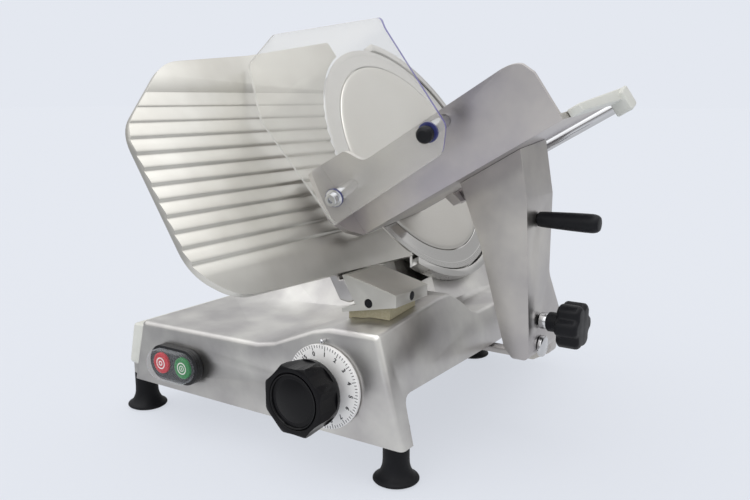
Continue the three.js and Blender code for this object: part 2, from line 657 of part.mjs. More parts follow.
const button = { proud: 3, body: 14, stem: 5, travel: 3, stemEnd: -18 };
for (const [name, side, color] of [['stop_button', -1, '#d62b33'], ['start_button', 1, '#1f8f4e']]) {
  const face = bezelFront - button.proud;
  addPiece(switchFrame, name, aimedY(turned([
    [0, face], [switchPlate.button - 1, face], [switchPlate.button, face + 1],
    [switchPlate.button, face + button.body], [button.stem, face + button.body],
    [button.stem, button.stemEnd], [0, button.stemEnd],
  ], 18)), finish(color, 0, 0.4), side * switchPlate.buttonPitch / 2, 0, 0);
}

const contact = { width: 72, height: 32, back: 14, pocket: -14 };
addPiece(switchFrame, 'contact_block', cut(
  box([-contact.width / 2, contact.width / 2], [baseFront + castWall + clearance, contact.back],
    [-contact.height / 2, contact.height / 2]),
  frontPlate(
    stadium(contact.width - castWall, 2 * switchPlate.button + castWall / 2), contact.pocket, baseFront),
), blackPlastic);

const switchCover = { wall: 1.5, width: 66, height: 34, depth: 11, bevel: 4 };
const coverBack = bezelFront - clearance;
addPiece(switchFrame, 'switch_cover', cut(
  frontPlate(stadium(switchCover.width, switchCover.height), coverBack + switchCover.bevel,
    coverBack - switchCover.depth, switchCover.bevel),
  box([-switchCover.width, switchCover.width], [coverBack, coverBack + overrun],
    [-switchCover.width, switchCover.width]),
  frontPlate(stadium(switchCover.width - 2 * switchCover.wall, switchCover.height - 2 * switchCover.wall),
    coverBack + overrun, coverBack - switchCover.depth + switchCover.wall, 3),
), clearAcrylic);

// Thickness dial: scale ring, knob with cap, spindle with a scroll cam behind the front wall
const dialFrame = new THREE.Group();
dialFrame.position.set(dialX, 0, dialHeight);
machine.add(dialFrame);
const ringBack = baseFront - clearance;
const ringFront = ringBack - dial.thickness;
addPiece(dialFrame, 'dial_ring', aimedFront(turned([
  [dial.spindle + clearance, -ringBack],
  [dial.radius, -ringBack],
  [dial.radius, -ringFront - 1],
  [dial.radius - 2, -ringFront],
  [dial.spindle + clearance, -ringFront],
  [dial.spindle + clearance, -ringBack],
], 36)), finish('#e9e9ea', 0, 0.4));

const knob = {
  lobes: 8, tip: 36.5, valley: 33, neck: 22, flare: 13, skirt: 31, skirtDepth: 19, depth: 46, bevel: 3,
  cap: 27.5, capDepth: 2,
};
function lobedOutline(tip, valley, lobes) {
  const shape = new THREE.Shape();
  const steps = 4 * lobes;
  for (let i = 0; i < steps; i++) {
    const angle = 2 * Math.PI * i / steps;
    const radius = valley + (tip - valley) * Math.sqrt(Math.abs(Math.cos(lobes * angle / 2)));
    const [x, y] = ringPoint(radius, angle);
    if (i === 0) shape.moveTo(x, y);
    else shape.lineTo(x, y);
  }
  shape.closePath();
  return shape;
}
const knobBack = ringFront - clearance;
const knobFront = knobBack - knob.depth;
addPiece(dialFrame, 'dial_knob', cut(
  joined(
    aimedFront(turned([
      [0, -knobBack], [knob.neck, -knobBack], [knob.skirt, -knobBack + knob.flare],
      [knob.skirt, -knobBack + knob.skirtDepth + 1], [0, -knobBack + knob.skirtDepth + 1],
    ], 24)),
    frontPlate(
      lobedOutline(knob.tip, knob.valley, knob.lobes), knobBack - knob.skirtDepth, knobFront, knob.bevel),
  ),
  aimedFront(rod(knob.cap + clearance, -knobFront - knob.capDepth, -knobFront + overrun, 24)),
  aimedFront(rod(dial.spindle + clearance, -knobBack - overrun, -knobBack + knob.skirtDepth, 20)),
), blackPlastic);
addPiece(dialFrame, 'dial_knob_cap', aimedFront(turned([
  [0, -knobFront - knob.capDepth + clearance],
  [knob.cap, -knobFront - knob.capDepth + clearance],
  [knob.cap, -knobFront - 1],
  [knob.cap - 1, -knobFront],
  [0, -knobFront],
], 24)), blackPlastic);

// The cam's spiral groove draws the follower pin level to the left, above the dial's axis
const pinStart = { x: 26, z: 15 };
function makeDialSpindle() {
  const steps = 28;
  const lead = THREE.MathUtils.degToRad(14);
  const path = [];
  for (let i = 0; i <= steps; i++) {
    const turn = THREE.MathUtils.lerp(-lead, dialTravel + lead, i / steps);
    const pinX = pinStart.x - gaugeTravel * turn / dialTravel;
    path.push([Math.hypot(pinX, pinStart.z), Math.atan2(pinStart.z, pinX) - turn]);
  }
  const outerEdge = path.map(([radius, angle]) => ringPoint(radius + dial.groove, angle));
  const innerEdge = path.map(([radius, angle]) => ringPoint(radius - dial.groove, angle)).toReversed();
  const disc = aimedY(rod(dial.cam, dial.camFront, dial.camBack, 28));
  const groove = alongY([...outerEdge, ...innerEdge], dial.camBack - 4, dial.camBack + overrun);
  const shaftFront = knobBack - knob.skirtDepth + clearance;
  const shaft = aimedY(rod(dial.spindle, shaftFront, (dial.camFront + dial.camBack) / 2, 16));
  return joined(cut(disc, groove), shaft);
}
addPiece(dialFrame, 'dial_spindle', makeDialSpindle(), polishedSteel);

const indexPin = { radius: 2.2, reach: 7, above: 3.2 };
addPiece(dialFrame, 'index_pin', aimedFront(turned([
  [0, -ringBack], [indexPin.radius, -ringBack], [indexPin.radius, -ringBack + indexPin.reach - 1],
  [indexPin.radius - 1, -ringBack + indexPin.reach], [0, -ringBack + indexPin.reach],
], 12)).translate(0, 0, dial.radius + indexPin.above), polishedSteel);

// Gauge plate: cast plate with long flutes in front of which the food rests, drawn in the blade's frame
const gauge = {
  front: -0.6, fluteDepth: 3, flutes: 12, pitch: 14.5, firstFlute: -85, bladeGap: 2.6,
  left: -416.4, top: 157, bottom: -118, bladeEnd: -60, corner: 60,
};
const plateTopShares = [[0.168, 1, 0.067], [0.538, 0.8376, 1], [0.826, 0.758, 0.467], [1, 0.344, 0.233]];
const plateLowShares = [[0.985, 0.661, 0.433], [0.896, 0.915, 0.267], [0.2305, 1, 0.033]];
const plateEndShare = 0.8;
function makeGaugePlate() {
  const back = gauge.front - plateThickness;
  const profile = [[-overrun + gauge.firstFlute * 2, gauge.front]];
  const fluteShares = [[0, 0], [0.4, 0.3], [0.75, 0.72], [0.96, 1]];
  for (let i = 0; i < gauge.flutes; i++) {
    for (const [across, deep] of fluteShares) {
      profile.push([gauge.firstFlute + (i + across) * gauge.pitch, gauge.front - deep * gauge.fluteDepth]);
    }
  }
  profile.push([gauge.firstFlute + gauge.flutes * gauge.pitch, gauge.front]);
  profile.push([bladeRadius + 2 * overrun, gauge.front]);
  profile.push([bladeRadius + 2 * overrun, back]);
  profile.push([-overrun + gauge.firstFlute * 2, back]);
  const fluted = placed(alongZ(profile.toReversed(), gauge.left - overrun, 0), axisY, axisZ, axisX);
  const face = alongZ([
    ...plateTopShares.map(([x, y, r]) => [x * gauge.left, y * gauge.top, r * gauge.corner]),
    ...plateLowShares.map(([x, y, r]) => [x * gauge.left, y * gauge.bottom, r * gauge.corner]),
    [gauge.bladeEnd, plateEndShare * gauge.bottom],
    [gauge.bladeEnd, plateEndShare * gauge.top],
  ], back - overrun, gauge.front + overrun);
  return cut(common(fluted, face), rod(bladeRadius + gauge.bladeGap, back - overrun, overrun, 72));
}
addPiece(bladeFrame, 'gauge_plate', makeGaugePlate(), brushedAluminium);

// Gauge bracket: bar behind the plate that stands on the gauge block
const bracket = { front: -231, back: -179, deep: -18, top: -40, bottom: -136, foot: -143, blockFace: -0.9 };
const plateBack = gauge.front - plateThickness - clearance;
const plateBottom = gauge.bottom - clearance;
addPiece(bladeFrame, 'gauge_bracket', placed(alongZ([
  [bracket.top, plateBack], [bracket.top, bracket.deep, 3], [bracket.bottom, bracket.deep, 3],
  [bracket.foot, bracket.blockFace - 8], [bracket.foot, bracket.blockFace - clearance],
  [plateBottom, bracket.blockFace - clearance], [plateBottom, plateBack],
].toReversed(), bracket.front, bracket.back), axisY, axisZ, axisX), castAluminium);

// Gauge block: wedge-shaped block with a stem down through the base to its carrier
const block = {
  front: 7, back: 67, left: -68.6, shelf: -60, right: -5.5, top: 196, rightTop: 183, rightLow: 171,
  notchDepth: 16.5, notch: 28.6, notchLow: 34, lap: 7, corner: 2,
};
const blockLow = 158;
const plug = { radius: 4.4, depth: 2.5 };
const carrier = { half: 14, height: 11, width: 15 };
const stemFoot = gaugeBar.height + carrier.height + clearance;
function makeGaugeBlock() {
  const body = alongY([
    [block.left, block.top, block.corner / 2], [block.left + block.notchDepth, block.top - block.notch],
    [block.left, block.top - block.notchLow], [block.left, blockLow], [block.right, block.rightLow],
    [block.right, block.rightTop, block.corner], [block.shelf, block.top, block.corner],
  ].toReversed(), block.front, block.back);
  const stemPiece = box([stem.left, stem.right], [stem.front, stem.back], [stemFoot, blockLow + block.lap]);
  return cut(joined(body, stemPiece),
    aimedY(rod(plug.radius + clearance, block.front - overrun, block.front + plug.depth, 16))
      .translate(frontPlug.x, 0, frontPlug.z),
    aimedX(rod(plug.radius + clearance, block.right - plug.depth, block.right + overrun, 16))
      .translate(0, sidePlug.y, sidePlug.z));
}
const frontPlug = { x: -37, z: 171 };
const sidePlug = { y: 37, z: 177 };
addPiece(machine, 'gauge_block', makeGaugeBlock(), castAluminium);
addPiece(machine, 'front_plug', aimedY(
  rod(plug.radius, block.front, block.front + plug.depth - clearance, 16),
), blackPlastic, frontPlug.x, 0, frontPlug.z);
addPiece(machine, 'side_plug', aimedX(
  rod(plug.radius, block.right - plug.depth + clearance, block.right, 16),
), blackPlastic, 0, sidePlug.y, sidePlug.z);

// Gauge carrier: slides on its bar inside the base, its follower pin runs in the cam's groove
function makeCarrier() {
  const drop = dialHeight + pinStart.z - gaugeBar.height;
  const along = dialX + pinStart.x - gaugeBar.x;
  const body = box(
    [-carrier.width, carrier.width], [-carrier.height, carrier.height], [-carrier.half, carrier.half],
  );
  const ear = box([-carrier.width, 0], [drop - dial.pinRadius - 1, 0], [along - castWall, along + castWall]);
  const pinEnd = dial.camBack - 4 + clearance - gaugeBar.y;
  const pin = aimedX(rod(dial.pinRadius, pinEnd, -carrier.width / 2, 16)).translate(0, drop, along);
  return cut(joined(body, ear, pin), rod(gaugeBar.radius + clearance, -overrun, overrun, 20));
}
addPiece(gaugeFrame, 'gauge_carrier', makeCarrier(), castAluminium);
addPiece(gaugeFrame, 'gauge_bar', rod(gaugeBar.radius, -gaugeBar.reachLeft,
  gaugeBar.reachRight + gaugeBar.seat - clearance, 20), polishedSteel);

// Slot seal: pale pad on the base round the stem's slot
function makeSlotSeal() {
  const rise = 3.5;
  const area = box([block.left - 5, block.right - 5], [block.front + 4, block.back - 4],
    [gaugeBar.height, gaugeBar.height + 2 * overrun]);
  const skin = baseSkin(0, footHeight);
  const pad = common(area, skin.clone().translate(0, 0, rise + clearance));
  return cut(pad, skin.clone().translate(0, 0, clearance), stemSlot(0, base.humpHeight));
}
addPiece(machine, 'slot_seal', makeSlotSeal(), finish('#a9a183', 0, 0.7));

// Slide rod and guide bar of the carriage, in the open bay under the right side
addPiece(machine, 'slide_rod', aimedY(rod(slideRodRadius, rodLug.blind, baseBack - castWall - clearance, 20)),
  polishedSteel, slideRodX, 0, slideRodHeight);
addPiece(machine, 'guide_bar', box([guideBar.left, guideBar.right],
  [guideBar.lugBack + clearance, backPillar - clearance], [guideBar.low, guideBar.high]), polishedSteel);

// Carriage: slider on the rod, arm with its cross foot, and the food tray on top
const slider = { front: 145, back: 205, left: -82, right: -42, low: 62, high: 94.5 };
addPiece(machine, 'carriage_slider', cut(
  alongY([[slider.left, slider.low, 4], [slider.right, slider.low, 4], [slider.right, slider.high, 2],
    [slider.left, slider.high, 2]], slider.front, slider.back),
  aimedY(rod(slideRodRadius + clearance, slider.front - overrun, slider.back + overrun, 20))
    .translate(slideRodX, 0, slideRodHeight),
), castAluminium);

// x runs out along the tray, y to the back and z up the leaning wall, from the wall's left bottom corner
const wallLean = THREE.MathUtils.degToRad(15);
const floorDip = THREE.MathUtils.degToRad(10);
const trayOffset = 9.1;
const trayUp = -45.7;
const wallBack = axisY.clone().multiplyScalar(Math.cos(wallLean)).addScaledVector(faceUp, Math.sin(wallLean));
const wallUp = axisY.clone().multiplyScalar(-Math.sin(wallLean)).addScaledVector(faceUp, Math.cos(wallLean));
const trayCorner = new THREE.Vector3(bladeCentre.x, carriageY, bladeCentre.z)
  .addScaledVector(faceOut, trayOffset).addScaledVector(faceUp, -83.9);
const trayFrame = frameAt(trayCorner, faceOut, wallBack, wallUp);

const tray = {
  wall: 5, floor: 6, bend: 10, left: -5, flangeTop: 83, flangeReach: 34.9, corner: 12,
  lug: 11, lugLeft: 34, rodDrop: 33, rodBack: 162,
};
const trayWallShares = [
  [0, 0, 0], [1, 0, 0], [1, 0.758, 0.5], [0.975, 0.984, 0.667], [0.919, 1.048, 0.667],
  [0.207, 1.016, 1], [0.157, 1.323, 0.5], [0, 1.339, 0],
];
const flangeShares = [
  [0.59, 0.993, 0.25], [0.903, 0.607, 1], [1, 0.4, 0.5], [0.871, 0.296, 0.5], [0.639, 0.157, 0.5],
  [0.075, -0.007, 0.167],
];
const floorBack = [trayDepth * Math.cos(floorDip), -trayDepth * Math.sin(floorDip)];
const floorNormal = [Math.sin(floorDip), Math.cos(floorDip)];
const rodY = tray.rodBack;
const rodZ = -tray.rodDrop;

function makeTray() {
  const wallPlate = alongY(
    trayWallShares.map(([x, z, r]) => [x * trayLength, z * wallHeight, r * tray.corner]), 0, tray.wall);
  const flange = alongX([
    [tray.wall, tray.flangeTop],
    ...flangeShares.map(([y, z, r]) => [-y * tray.flangeReach, z * tray.flangeTop, r * tray.corner]),
    [tray.wall, 0],
  ], 0, tray.wall);
  const floor = alongX([
    [0, 2 * tray.bend], [0, 0, tray.bend], floorBack,
    [floorBack[0] + tray.floor * floorNormal[0], floorBack[1] + tray.floor * floorNormal[1]],
    [tray.wall, tray.floor - tray.wall * Math.tan(floorDip), 2], [tray.wall, 2 * tray.bend],
  ], tray.left, trayLength);
  const lugEye = aimedX(rod(pressRodRadius + 4, tray.lugLeft, tray.lugLeft + tray.lug, 24))
    .translate(0, rodY, rodZ);
  const lugArm = alongX([
    [floorBack[0] - 14, floorBack[1] + 5], [floorBack[0] - 6, floorBack[1] - 12],
    [rodY, rodZ - pressRodRadius - 3], [rodY + 4, rodZ + 4], [floorBack[0], floorBack[1] + 4],
  ], tray.lugLeft, tray.lugLeft + tray.lug);
  const body = joined(wallPlate, flange, floor, lugEye, lugArm);
  const hole = ([x, z]) => aimedY(rod(3.3, -overrun, overrun, 16)).translate(x, 0, z);
  return cut(body,
    aimedX(rod(pressRodRadius + clearance, tray.lugLeft + 3, tray.lugLeft + overrun, 20))
      .translate(0, rodY, rodZ),
    hole(guardScrewSpot), hole(guardKnobSpot));
}
const guardScrewSpot = [25, 49];
const guardKnobSpot = [147, 53.6];
addPiece(trayFrame, 'food_tray', makeTray(), brushedAluminium);

// Tray end: pale cast end piece that hooks down and holds the press rod
const trayEnd = { width: 17, hookFront: 148, hookBack: 176, lip: 12 };
function makeTrayEnd() {
  const near = trayLength + clearance;
  const frontY = 20;
  const lineAt = (y) => -y * Math.tan(floorDip);
  const lip = alongX([
    [frontY, lineAt(frontY) - 1], [trayEnd.hookBack - 4, lineAt(trayEnd.hookBack) - 1],
    [trayEnd.hookBack, lineAt(trayEnd.hookBack) + 4, 2],
    [trayEnd.hookBack - 6, lineAt(trayEnd.hookBack) + trayEnd.lip, 3],
    [frontY, lineAt(frontY) + trayEnd.lip - 5, 2],
  ], near, near + trayEnd.width - 4, 1);
  const hook = alongX([
    [trayEnd.hookFront, rodZ - 9, 4], [trayEnd.hookBack, rodZ - 9, 4],
    [trayEnd.hookBack, lineAt(trayEnd.hookBack) + trayEnd.lip, 4],
    [trayEnd.hookFront, lineAt(trayEnd.hookFront) + 6, 2],
  ], near, near + trayEnd.width, 1);
  return cut(joined(lip, hook),
    aimedX(rod(pressRodRadius + clearance, near - overrun, near + trayEnd.width - 5, 20))
      .translate(0, rodY, rodZ));
}
addPiece(trayFrame, 'tray_end', makeTrayEnd(), creamPlastic);
addPiece(trayFrame, 'press_rod', aimedX(rod(pressRodRadius, tray.lugLeft + 3 + clearance,
  trayLength + trayEnd.width - 5, 20)), polishedSteel, 0, rodY, rodZ);

// Food press: a toothed plate on an arm that slides and swings on the press rod
const press = { width: 26, bush: 2.5, hub: 13, thickness: 9, front: 22, back: 128, top: 50, lift: 4 };
const pressX = tray.lugLeft + tray.lug + press.width / 2 + clearance;
const bushBore = pressRodRadius + clearance;
addPiece(trayFrame, 'press_bush', aimedX(
  tube(bushBore, bushBore + press.bush, -press.width / 2, press.width / 2, 20),
), blackPlastic, pressX, rodY, rodZ);
function makePress() {
  const floorTop = (y) => tray.floor / Math.cos(floorDip) - y * Math.tan(floorDip);
  const hub = aimedX(rod(press.hub, -press.width / 2, press.width / 2, 24)).translate(0, rodY, rodZ);
  const arm = alongX([
    [rodY - 7, rodZ + 8], [rodY + 8, rodZ + 8], [rodY + 2, press.top - 6, 10],
    [press.front + 30, press.top, 4],
    [press.front + 30, press.top - 12, 4], [rodY - 16, press.top - 18, 10], [rodY - 3, rodZ + 22],
  ], -press.thickness / 2, press.thickness / 2);
  const plate = alongX([
    [press.front, floorTop(press.front) + press.lift, 4], [press.back, floorTop(press.back) + press.lift, 4],
    [press.back, press.top - 16, 10], [press.front + 30, press.top, 10], [press.front, press.top - 10, 10],
  ], -press.thickness / 2, press.thickness / 2);
  const teeth = [];
  for (let y = press.front + 10; y < press.back - 8; y += 16) {
    teeth.push(alongX([
      [y, floorTop(y) + press.lift + 6], [y + 4, floorTop(y) + press.lift + 6],
      [y + 4, press.top - 22], [y, press.top - 22],
    ], -press.thickness / 2 - 2, 0));
  }
  return cut(joined(hub, arm, plate, ...teeth),
    aimedX(rod(bushBore + press.bush + clearance, -press.width, press.width, 20)).translate(0, rodY, rodZ));
}
addPiece(trayFrame, 'food_press', makePress(), castAluminium, pressX, 0, 0);
const grip = { neck: 6, radius: 13, length: 44 };
addPiece(trayFrame, 'press_handle', aimedX(turned([
  [0, 0], [grip.neck, 0], [grip.neck, 8], [grip.radius - 2, 14], [grip.radius, 28],
  [grip.radius - 3, grip.length - 3], [grip.radius - 6, grip.length], [0, grip.length],
], 18)), blackPlastic, pressX + press.thickness / 2 + clearance, 75, 24);

// Hand guard: bent clear acrylic on two spacers in front of the wall
const guard = {
  back: -35.5, thickness: 3, fold: 150, foldRadius: 14, right: 164, top: 215, corner: 14, flap: 90,
};
const guardShares = [
  [0.0305, 0.121, 0.214], [0.896, 0.144, 1], [1, 0.2326, 1], [1, 0.735, 0.571], [0.2195, 1, 0.571],
  [-0.0305, 0.963, 0.357], [0, 0.735, 0],
];
const flapTilt = THREE.MathUtils.degToRad(37);
function makeHandGuard() {
  const near = guard.back;
  const far = guard.back - guard.thickness;
  const arcSteps = 5;
  const bent = (offset) => {
    const radius = guard.foldRadius + offset;
    const points = [];
    for (let i = 0; i <= arcSteps; i++) {
      const angle = flapTilt * i / arcSteps;
      points.push([near + guard.foldRadius - radius * Math.cos(angle),
        guard.fold - guard.foldRadius * Math.tan(flapTilt / 2) + radius * Math.sin(angle)]);
    }
    const [endY, endZ] = points.at(-1);
    points.push([endY + guard.flap * Math.sin(flapTilt), endZ + guard.flap * Math.cos(flapTilt)]);
    return points;
  };
  const inside = bent(0);
  const outside = bent(guard.thickness);
  const section = alongX([[far, 0], [near, 0], ...inside, ...outside.toReversed()], -overrun, trayLength);
  const silhouette = alongY(
    guardShares.map(([x, z, r]) => [x * guard.right, z * guard.top, r * guard.corner]),
    guard.back - 2 * overrun, guard.back + 5 * overrun);
  const hole = ([x, z]) => aimedY(rod(3.3, far - overrun, near + overrun, 16)).translate(x, 0, z);
  return cut(common(section, silhouette), hole(guardScrewSpot), hole(guardKnobSpot));
}
addPiece(trayFrame, 'hand_guard', makeHandGuard(), clearAcrylic);

const spacer = { radius: 6.5, bore: 3.3 };
for (const [name, [x, z]] of [['guard_spacer_left', guardScrewSpot], ['guard_spacer_right', guardKnobSpot]]) {
  addPiece(trayFrame, name, aimedY(tube(spacer.bore, spacer.radius, guard.back + clearance, -clearance, 16)),
    polishedSteel, x, 0, z);
}
const guardFace = guard.back - guard.thickness - clearance;
const screw = { shank: 3, washer: 9, washerDepth: 2.5, head: 6, headDepth: 7, socket: 3 };
addPiece(trayFrame, 'guard_screw', aimedFront(turned([
  [0, -tray.wall], [screw.shank, -tray.wall], [screw.shank, -guardFace], [screw.washer, -guardFace],
  [screw.washer, -guardFace + screw.washerDepth], [screw.head, -guardFace + screw.washerDepth],
  [screw.head, -guardFace + screw.washerDepth + screw.headDepth],
  [screw.socket, -guardFace + screw.washerDepth + screw.headDepth],
  [screw.socket, -guardFace + screw.washerDepth + screw.headDepth / 2],
  [0, -guardFace + screw.washerDepth + screw.headDepth / 2],
], 12)), polishedSteel, guardScrewSpot[0], 0, guardScrewSpot[1]);
const guardKnob = { radius: 9, depth: 15, collar: 6 };
addPiece(trayFrame, 'guard_knob', aimedFront(turned([
  [0, -tray.wall], [screw.shank, -tray.wall], [screw.shank, -guardFace], [guardKnob.radius, -guardFace],
  [guardKnob.radius, -guardFace + 2], [guardKnob.collar, -guardFace + 2], [guardKnob.collar, -guardFace + 4],
  [guardKnob.radius, -guardFace + 6], [guardKnob.radius, -guardFace + guardKnob.depth - 3],
  [guardKnob.radius - 3, -guardFace + guardKnob.depth], [0, -guardFace + guardKnob.depth],
], 16)), blackPlastic, guardKnobSpot[0], 0, guardKnobSpot[1]);

// Carriage arm: hollow casting open to the blade side, with a foot that reaches under the base's side
const arm = {
  front: 100, back: 168, right: 92, top: 325, corner: 20, wall: 7,
  footFront: 187, footBack: 203, footLow: 82, footHigh: 88.3, footKnee: 62, footRadius: 6,
  kneeInside: 56, legLeft: 68, legRight: 82, legLow: 94, legTop: 124,
};
const armFrontShares = [
  [0.043, 0.932, 0], [0.81, 1, 0], [0.913, 0.834, 0], [0.957, 0.597, 0], [1, 0.36, 0.3],
  [0.967, 0.3385, 0.2], [0.804, 0.3385, 0.2], [0.7065, 0.369, 0.2], [0.576, 0.4985, 0], [0.391, 0.683, 0],
];
const armSideShares = [
  [1.1726, 0.3077, 0], [1.1726, 0.4246, 0.4], [1.1131, 0.4369, 0.4], [0.9286, 0.5846, 1], [1, 0.8369, 0.3],
  [1, 1.0462, 0],
];
const pocketSideShares = [[1.0119, 0.3938], [0.8869, 0.5723], [0.9583, 0.8431], [0.9583, 1.0462]];
const pocketFrontShares = [
  [0.043, 1.0462], [0.705, 1.0462], [0.837, 0.8338], [0.8696, 0.5969], [0.8913, 0.3938], [0, 0.3938],
];
const armLeanShare = 0.184;
const armToeShare = 0.36;
const armFace = (z) => arm.right * (1 - (z / arm.top - armToeShare) * armLeanShare);
const lock = {
  y: 128, z: 146, bush: 8.5, stud: 5, gap: 2, bushEnd: 100,
  collar: 10, knob: 113, tip: 24, valley: 19, lobes: 6, bevel: 3,
};
const gripSpot = { y: 127, z: 249 };
const wheel = { radius: 7, pin: 2.5, y: 195, lugGap: 3, lug: 5 };
const wheelLug = guideBar.right + wheel.lugGap;
const wheelHeight = guideBar.high + clearance + wheel.radius;
function makeArm() {
  const acrossAndUp = ([x, z, r = 0]) => [x * arm.right, z * arm.top, r * arm.corner];
  const backAndUp = ([y, z, r = 0]) => [y * arm.back, z * arm.top, r * arm.corner];
  const frontOutline = armFrontShares.map(acrossAndUp).toReversed();
  const frontView = alongY(frontOutline, arm.front - overrun, arm.back + 2 * overrun);
  const side = armSideShares.map(backAndUp);
  const sideView = alongX([[arm.front, side[0][1]], ...side, [arm.front, side.at(-1)[1]]], 0, 2 * arm.right);
  const inside = pocketSideShares.map(backAndUp);
  const pocketFront = arm.front + arm.wall;
  const pocket = alongX(
    [[pocketFront, inside[0][1]], ...inside, [pocketFront, inside.at(-1)[1]]], -overrun, 2 * arm.right);
  const pocketDepth = alongY(pocketFrontShares.map(acrossAndUp).toReversed(), arm.front, arm.back + overrun);
  const underTray = toMachine(
    box([-trayLength, 2 * trayLength], [-trayDepth, 2 * trayDepth], [-clearance, 2 * trayDepth])
      .rotateX(-floorDip),
    trayFrame,
  );
  const shell = common(frontView, sideView);
  const crossFoot = alongY([
    [slider.right + clearance, arm.footLow],
    [arm.footKnee, arm.footLow, arm.footRadius],
    [arm.legRight, arm.legLow, arm.footRadius],
    [arm.legRight, arm.legTop],
    [arm.legLeft, arm.legTop],
    [arm.kneeInside, arm.footHigh, arm.footRadius],
    [slider.right + clearance, arm.footHigh],
  ], arm.footFront, arm.footBack);
  const studHole = ({ y, z }) =>
    aimedX(rod(lock.stud + clearance, arm.kneeInside, arm.right + overrun, 20)).translate(0, y, z);
  const lug = box([wheelLug, wheelLug + wheel.lug], [wheel.y - wheel.radius, wheel.y + wheel.radius],
    [arm.footHigh - 1, wheelHeight + wheel.radius]);
  return cut(
    joined(cut(shell, common(pocket, pocketDepth), underTray), crossFoot, lug),
    studHole(lock),
    studHole(gripSpot),
    aimedX(rod(wheel.pin + clearance, wheelLug - overrun, wheelLug + 1, 12))
      .translate(0, wheel.y, wheelHeight),
  );
}
addPiece(machine, 'carriage_arm', makeArm(), brushedAluminium);

// Guide wheel on its pin: it rolls on top of the guide bar
addPiece(machine, 'guide_wheel', aimedX(
  tube(wheel.pin + clearance, wheel.radius, guideBar.left + 1, guideBar.right - 1, 20),
), polishedSteel, 0, wheel.y, wheelHeight);
addPiece(machine, 'wheel_pin', aimedX(rod(wheel.pin, guideBar.left, wheelLug + 1 - clearance, 12)),
  polishedSteel, 0, wheel.y, wheelHeight);

// Black grip on the arm, lock knob with its bush, and the bolt below it
const armGrip = { waist: 7.3, radius: 8, swell: 9.4, tip: 8.4, end: 148, length: 36, crown: 5 };
const gripFace = armFace(gripSpot.z);
addPiece(machine, 'arm_grip', aimedX(turned([
  [0, gripFace - arm.wall], [lock.stud, gripFace - arm.wall], [lock.stud, gripFace + 1],
  [armGrip.waist, gripFace + 1],
  [armGrip.radius, armGrip.end - armGrip.length],
  [armGrip.swell, armGrip.end - armGrip.crown],
  [armGrip.tip, armGrip.end - 1], [0, armGrip.end],
], 18)), blackPlastic, 0, gripSpot.y, gripSpot.z);
const lockFace = armFace(lock.z);
addPiece(machine, 'lock_bush', aimedX(
  tube(lock.stud + clearance, lock.bush, lockFace + lock.gap, lock.bushEnd, 16),
), polishedSteel, 0, lock.y, lock.z);
addPiece(machine, 'lock_knob', joined(
  aimedX(rod(lock.stud, lockFace - lock.stud, lock.knob + lock.stud, 14)),
  aimedX(rod(lock.collar, lock.bushEnd + clearance, lock.knob + 1, 16)),
  placed(
    extruded(lobedOutline(lock.tip, lock.valley, lock.lobes), lock.tip, lock.bevel, 4), axisY, axisZ, axisX,
  ).translate(lock.knob, 0, 0),
), blackPlastic, 0, lock.y, lock.z);
const armBolt = { y: 130, z: 118.5, radius: 11, head: 5, bevel: 1 };
const boltFace = arm.right;
addPiece(machine, 'arm_bolt', aimedX(turned([
  [0, boltFace + clearance], [armBolt.radius, boltFace + clearance],
  [armBolt.radius, boltFace + armBolt.head - armBolt.bevel],
  [armBolt.radius - 2 * armBolt.bevel, boltFace + armBolt.head], [0, boltFace + armBolt.head],
], 16)), polishedSteel, 0, armBolt.y, armBolt.z);

// The origin is the middle of the floor area that the machine covers
const slicer = new THREE.Group();
slicer.add(machine);
const extent = new THREE.Box3().setFromObject(machine, true);
machine.position.set(-(extent.min.x + extent.max.x) / 2, -(extent.min.y + extent.max.y) / 2, -extent.min.z);

export default slicer;
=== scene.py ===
# An electric gravity-feed food slicer with a tilted steel blade, a fluted gauge plate and a
# sliding food tray under a clear hand guard. Metres, +Z up, the operator stands at -Y.
import json
import math

import bpy
from mathutils import Euler, Matrix, Vector

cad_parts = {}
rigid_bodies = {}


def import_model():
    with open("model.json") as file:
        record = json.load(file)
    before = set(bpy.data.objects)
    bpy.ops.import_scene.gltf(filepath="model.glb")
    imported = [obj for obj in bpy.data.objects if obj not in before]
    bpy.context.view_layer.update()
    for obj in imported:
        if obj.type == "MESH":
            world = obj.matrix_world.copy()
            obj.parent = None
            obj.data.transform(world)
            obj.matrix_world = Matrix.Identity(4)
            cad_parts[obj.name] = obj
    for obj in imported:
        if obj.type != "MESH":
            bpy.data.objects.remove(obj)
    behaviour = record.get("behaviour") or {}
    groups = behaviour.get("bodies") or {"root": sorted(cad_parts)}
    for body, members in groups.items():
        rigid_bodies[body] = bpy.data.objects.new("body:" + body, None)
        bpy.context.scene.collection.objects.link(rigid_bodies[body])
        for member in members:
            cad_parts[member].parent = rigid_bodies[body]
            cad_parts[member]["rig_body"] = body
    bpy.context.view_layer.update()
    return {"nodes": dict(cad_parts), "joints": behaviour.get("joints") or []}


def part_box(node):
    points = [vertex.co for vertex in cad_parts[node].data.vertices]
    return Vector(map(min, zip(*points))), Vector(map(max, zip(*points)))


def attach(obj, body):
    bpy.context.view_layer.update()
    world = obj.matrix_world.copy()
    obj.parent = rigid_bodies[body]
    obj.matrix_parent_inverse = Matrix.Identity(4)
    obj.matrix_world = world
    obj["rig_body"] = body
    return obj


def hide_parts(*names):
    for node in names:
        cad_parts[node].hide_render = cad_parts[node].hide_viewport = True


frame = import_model()
scene = bpy.context.scene
MM = 0.001


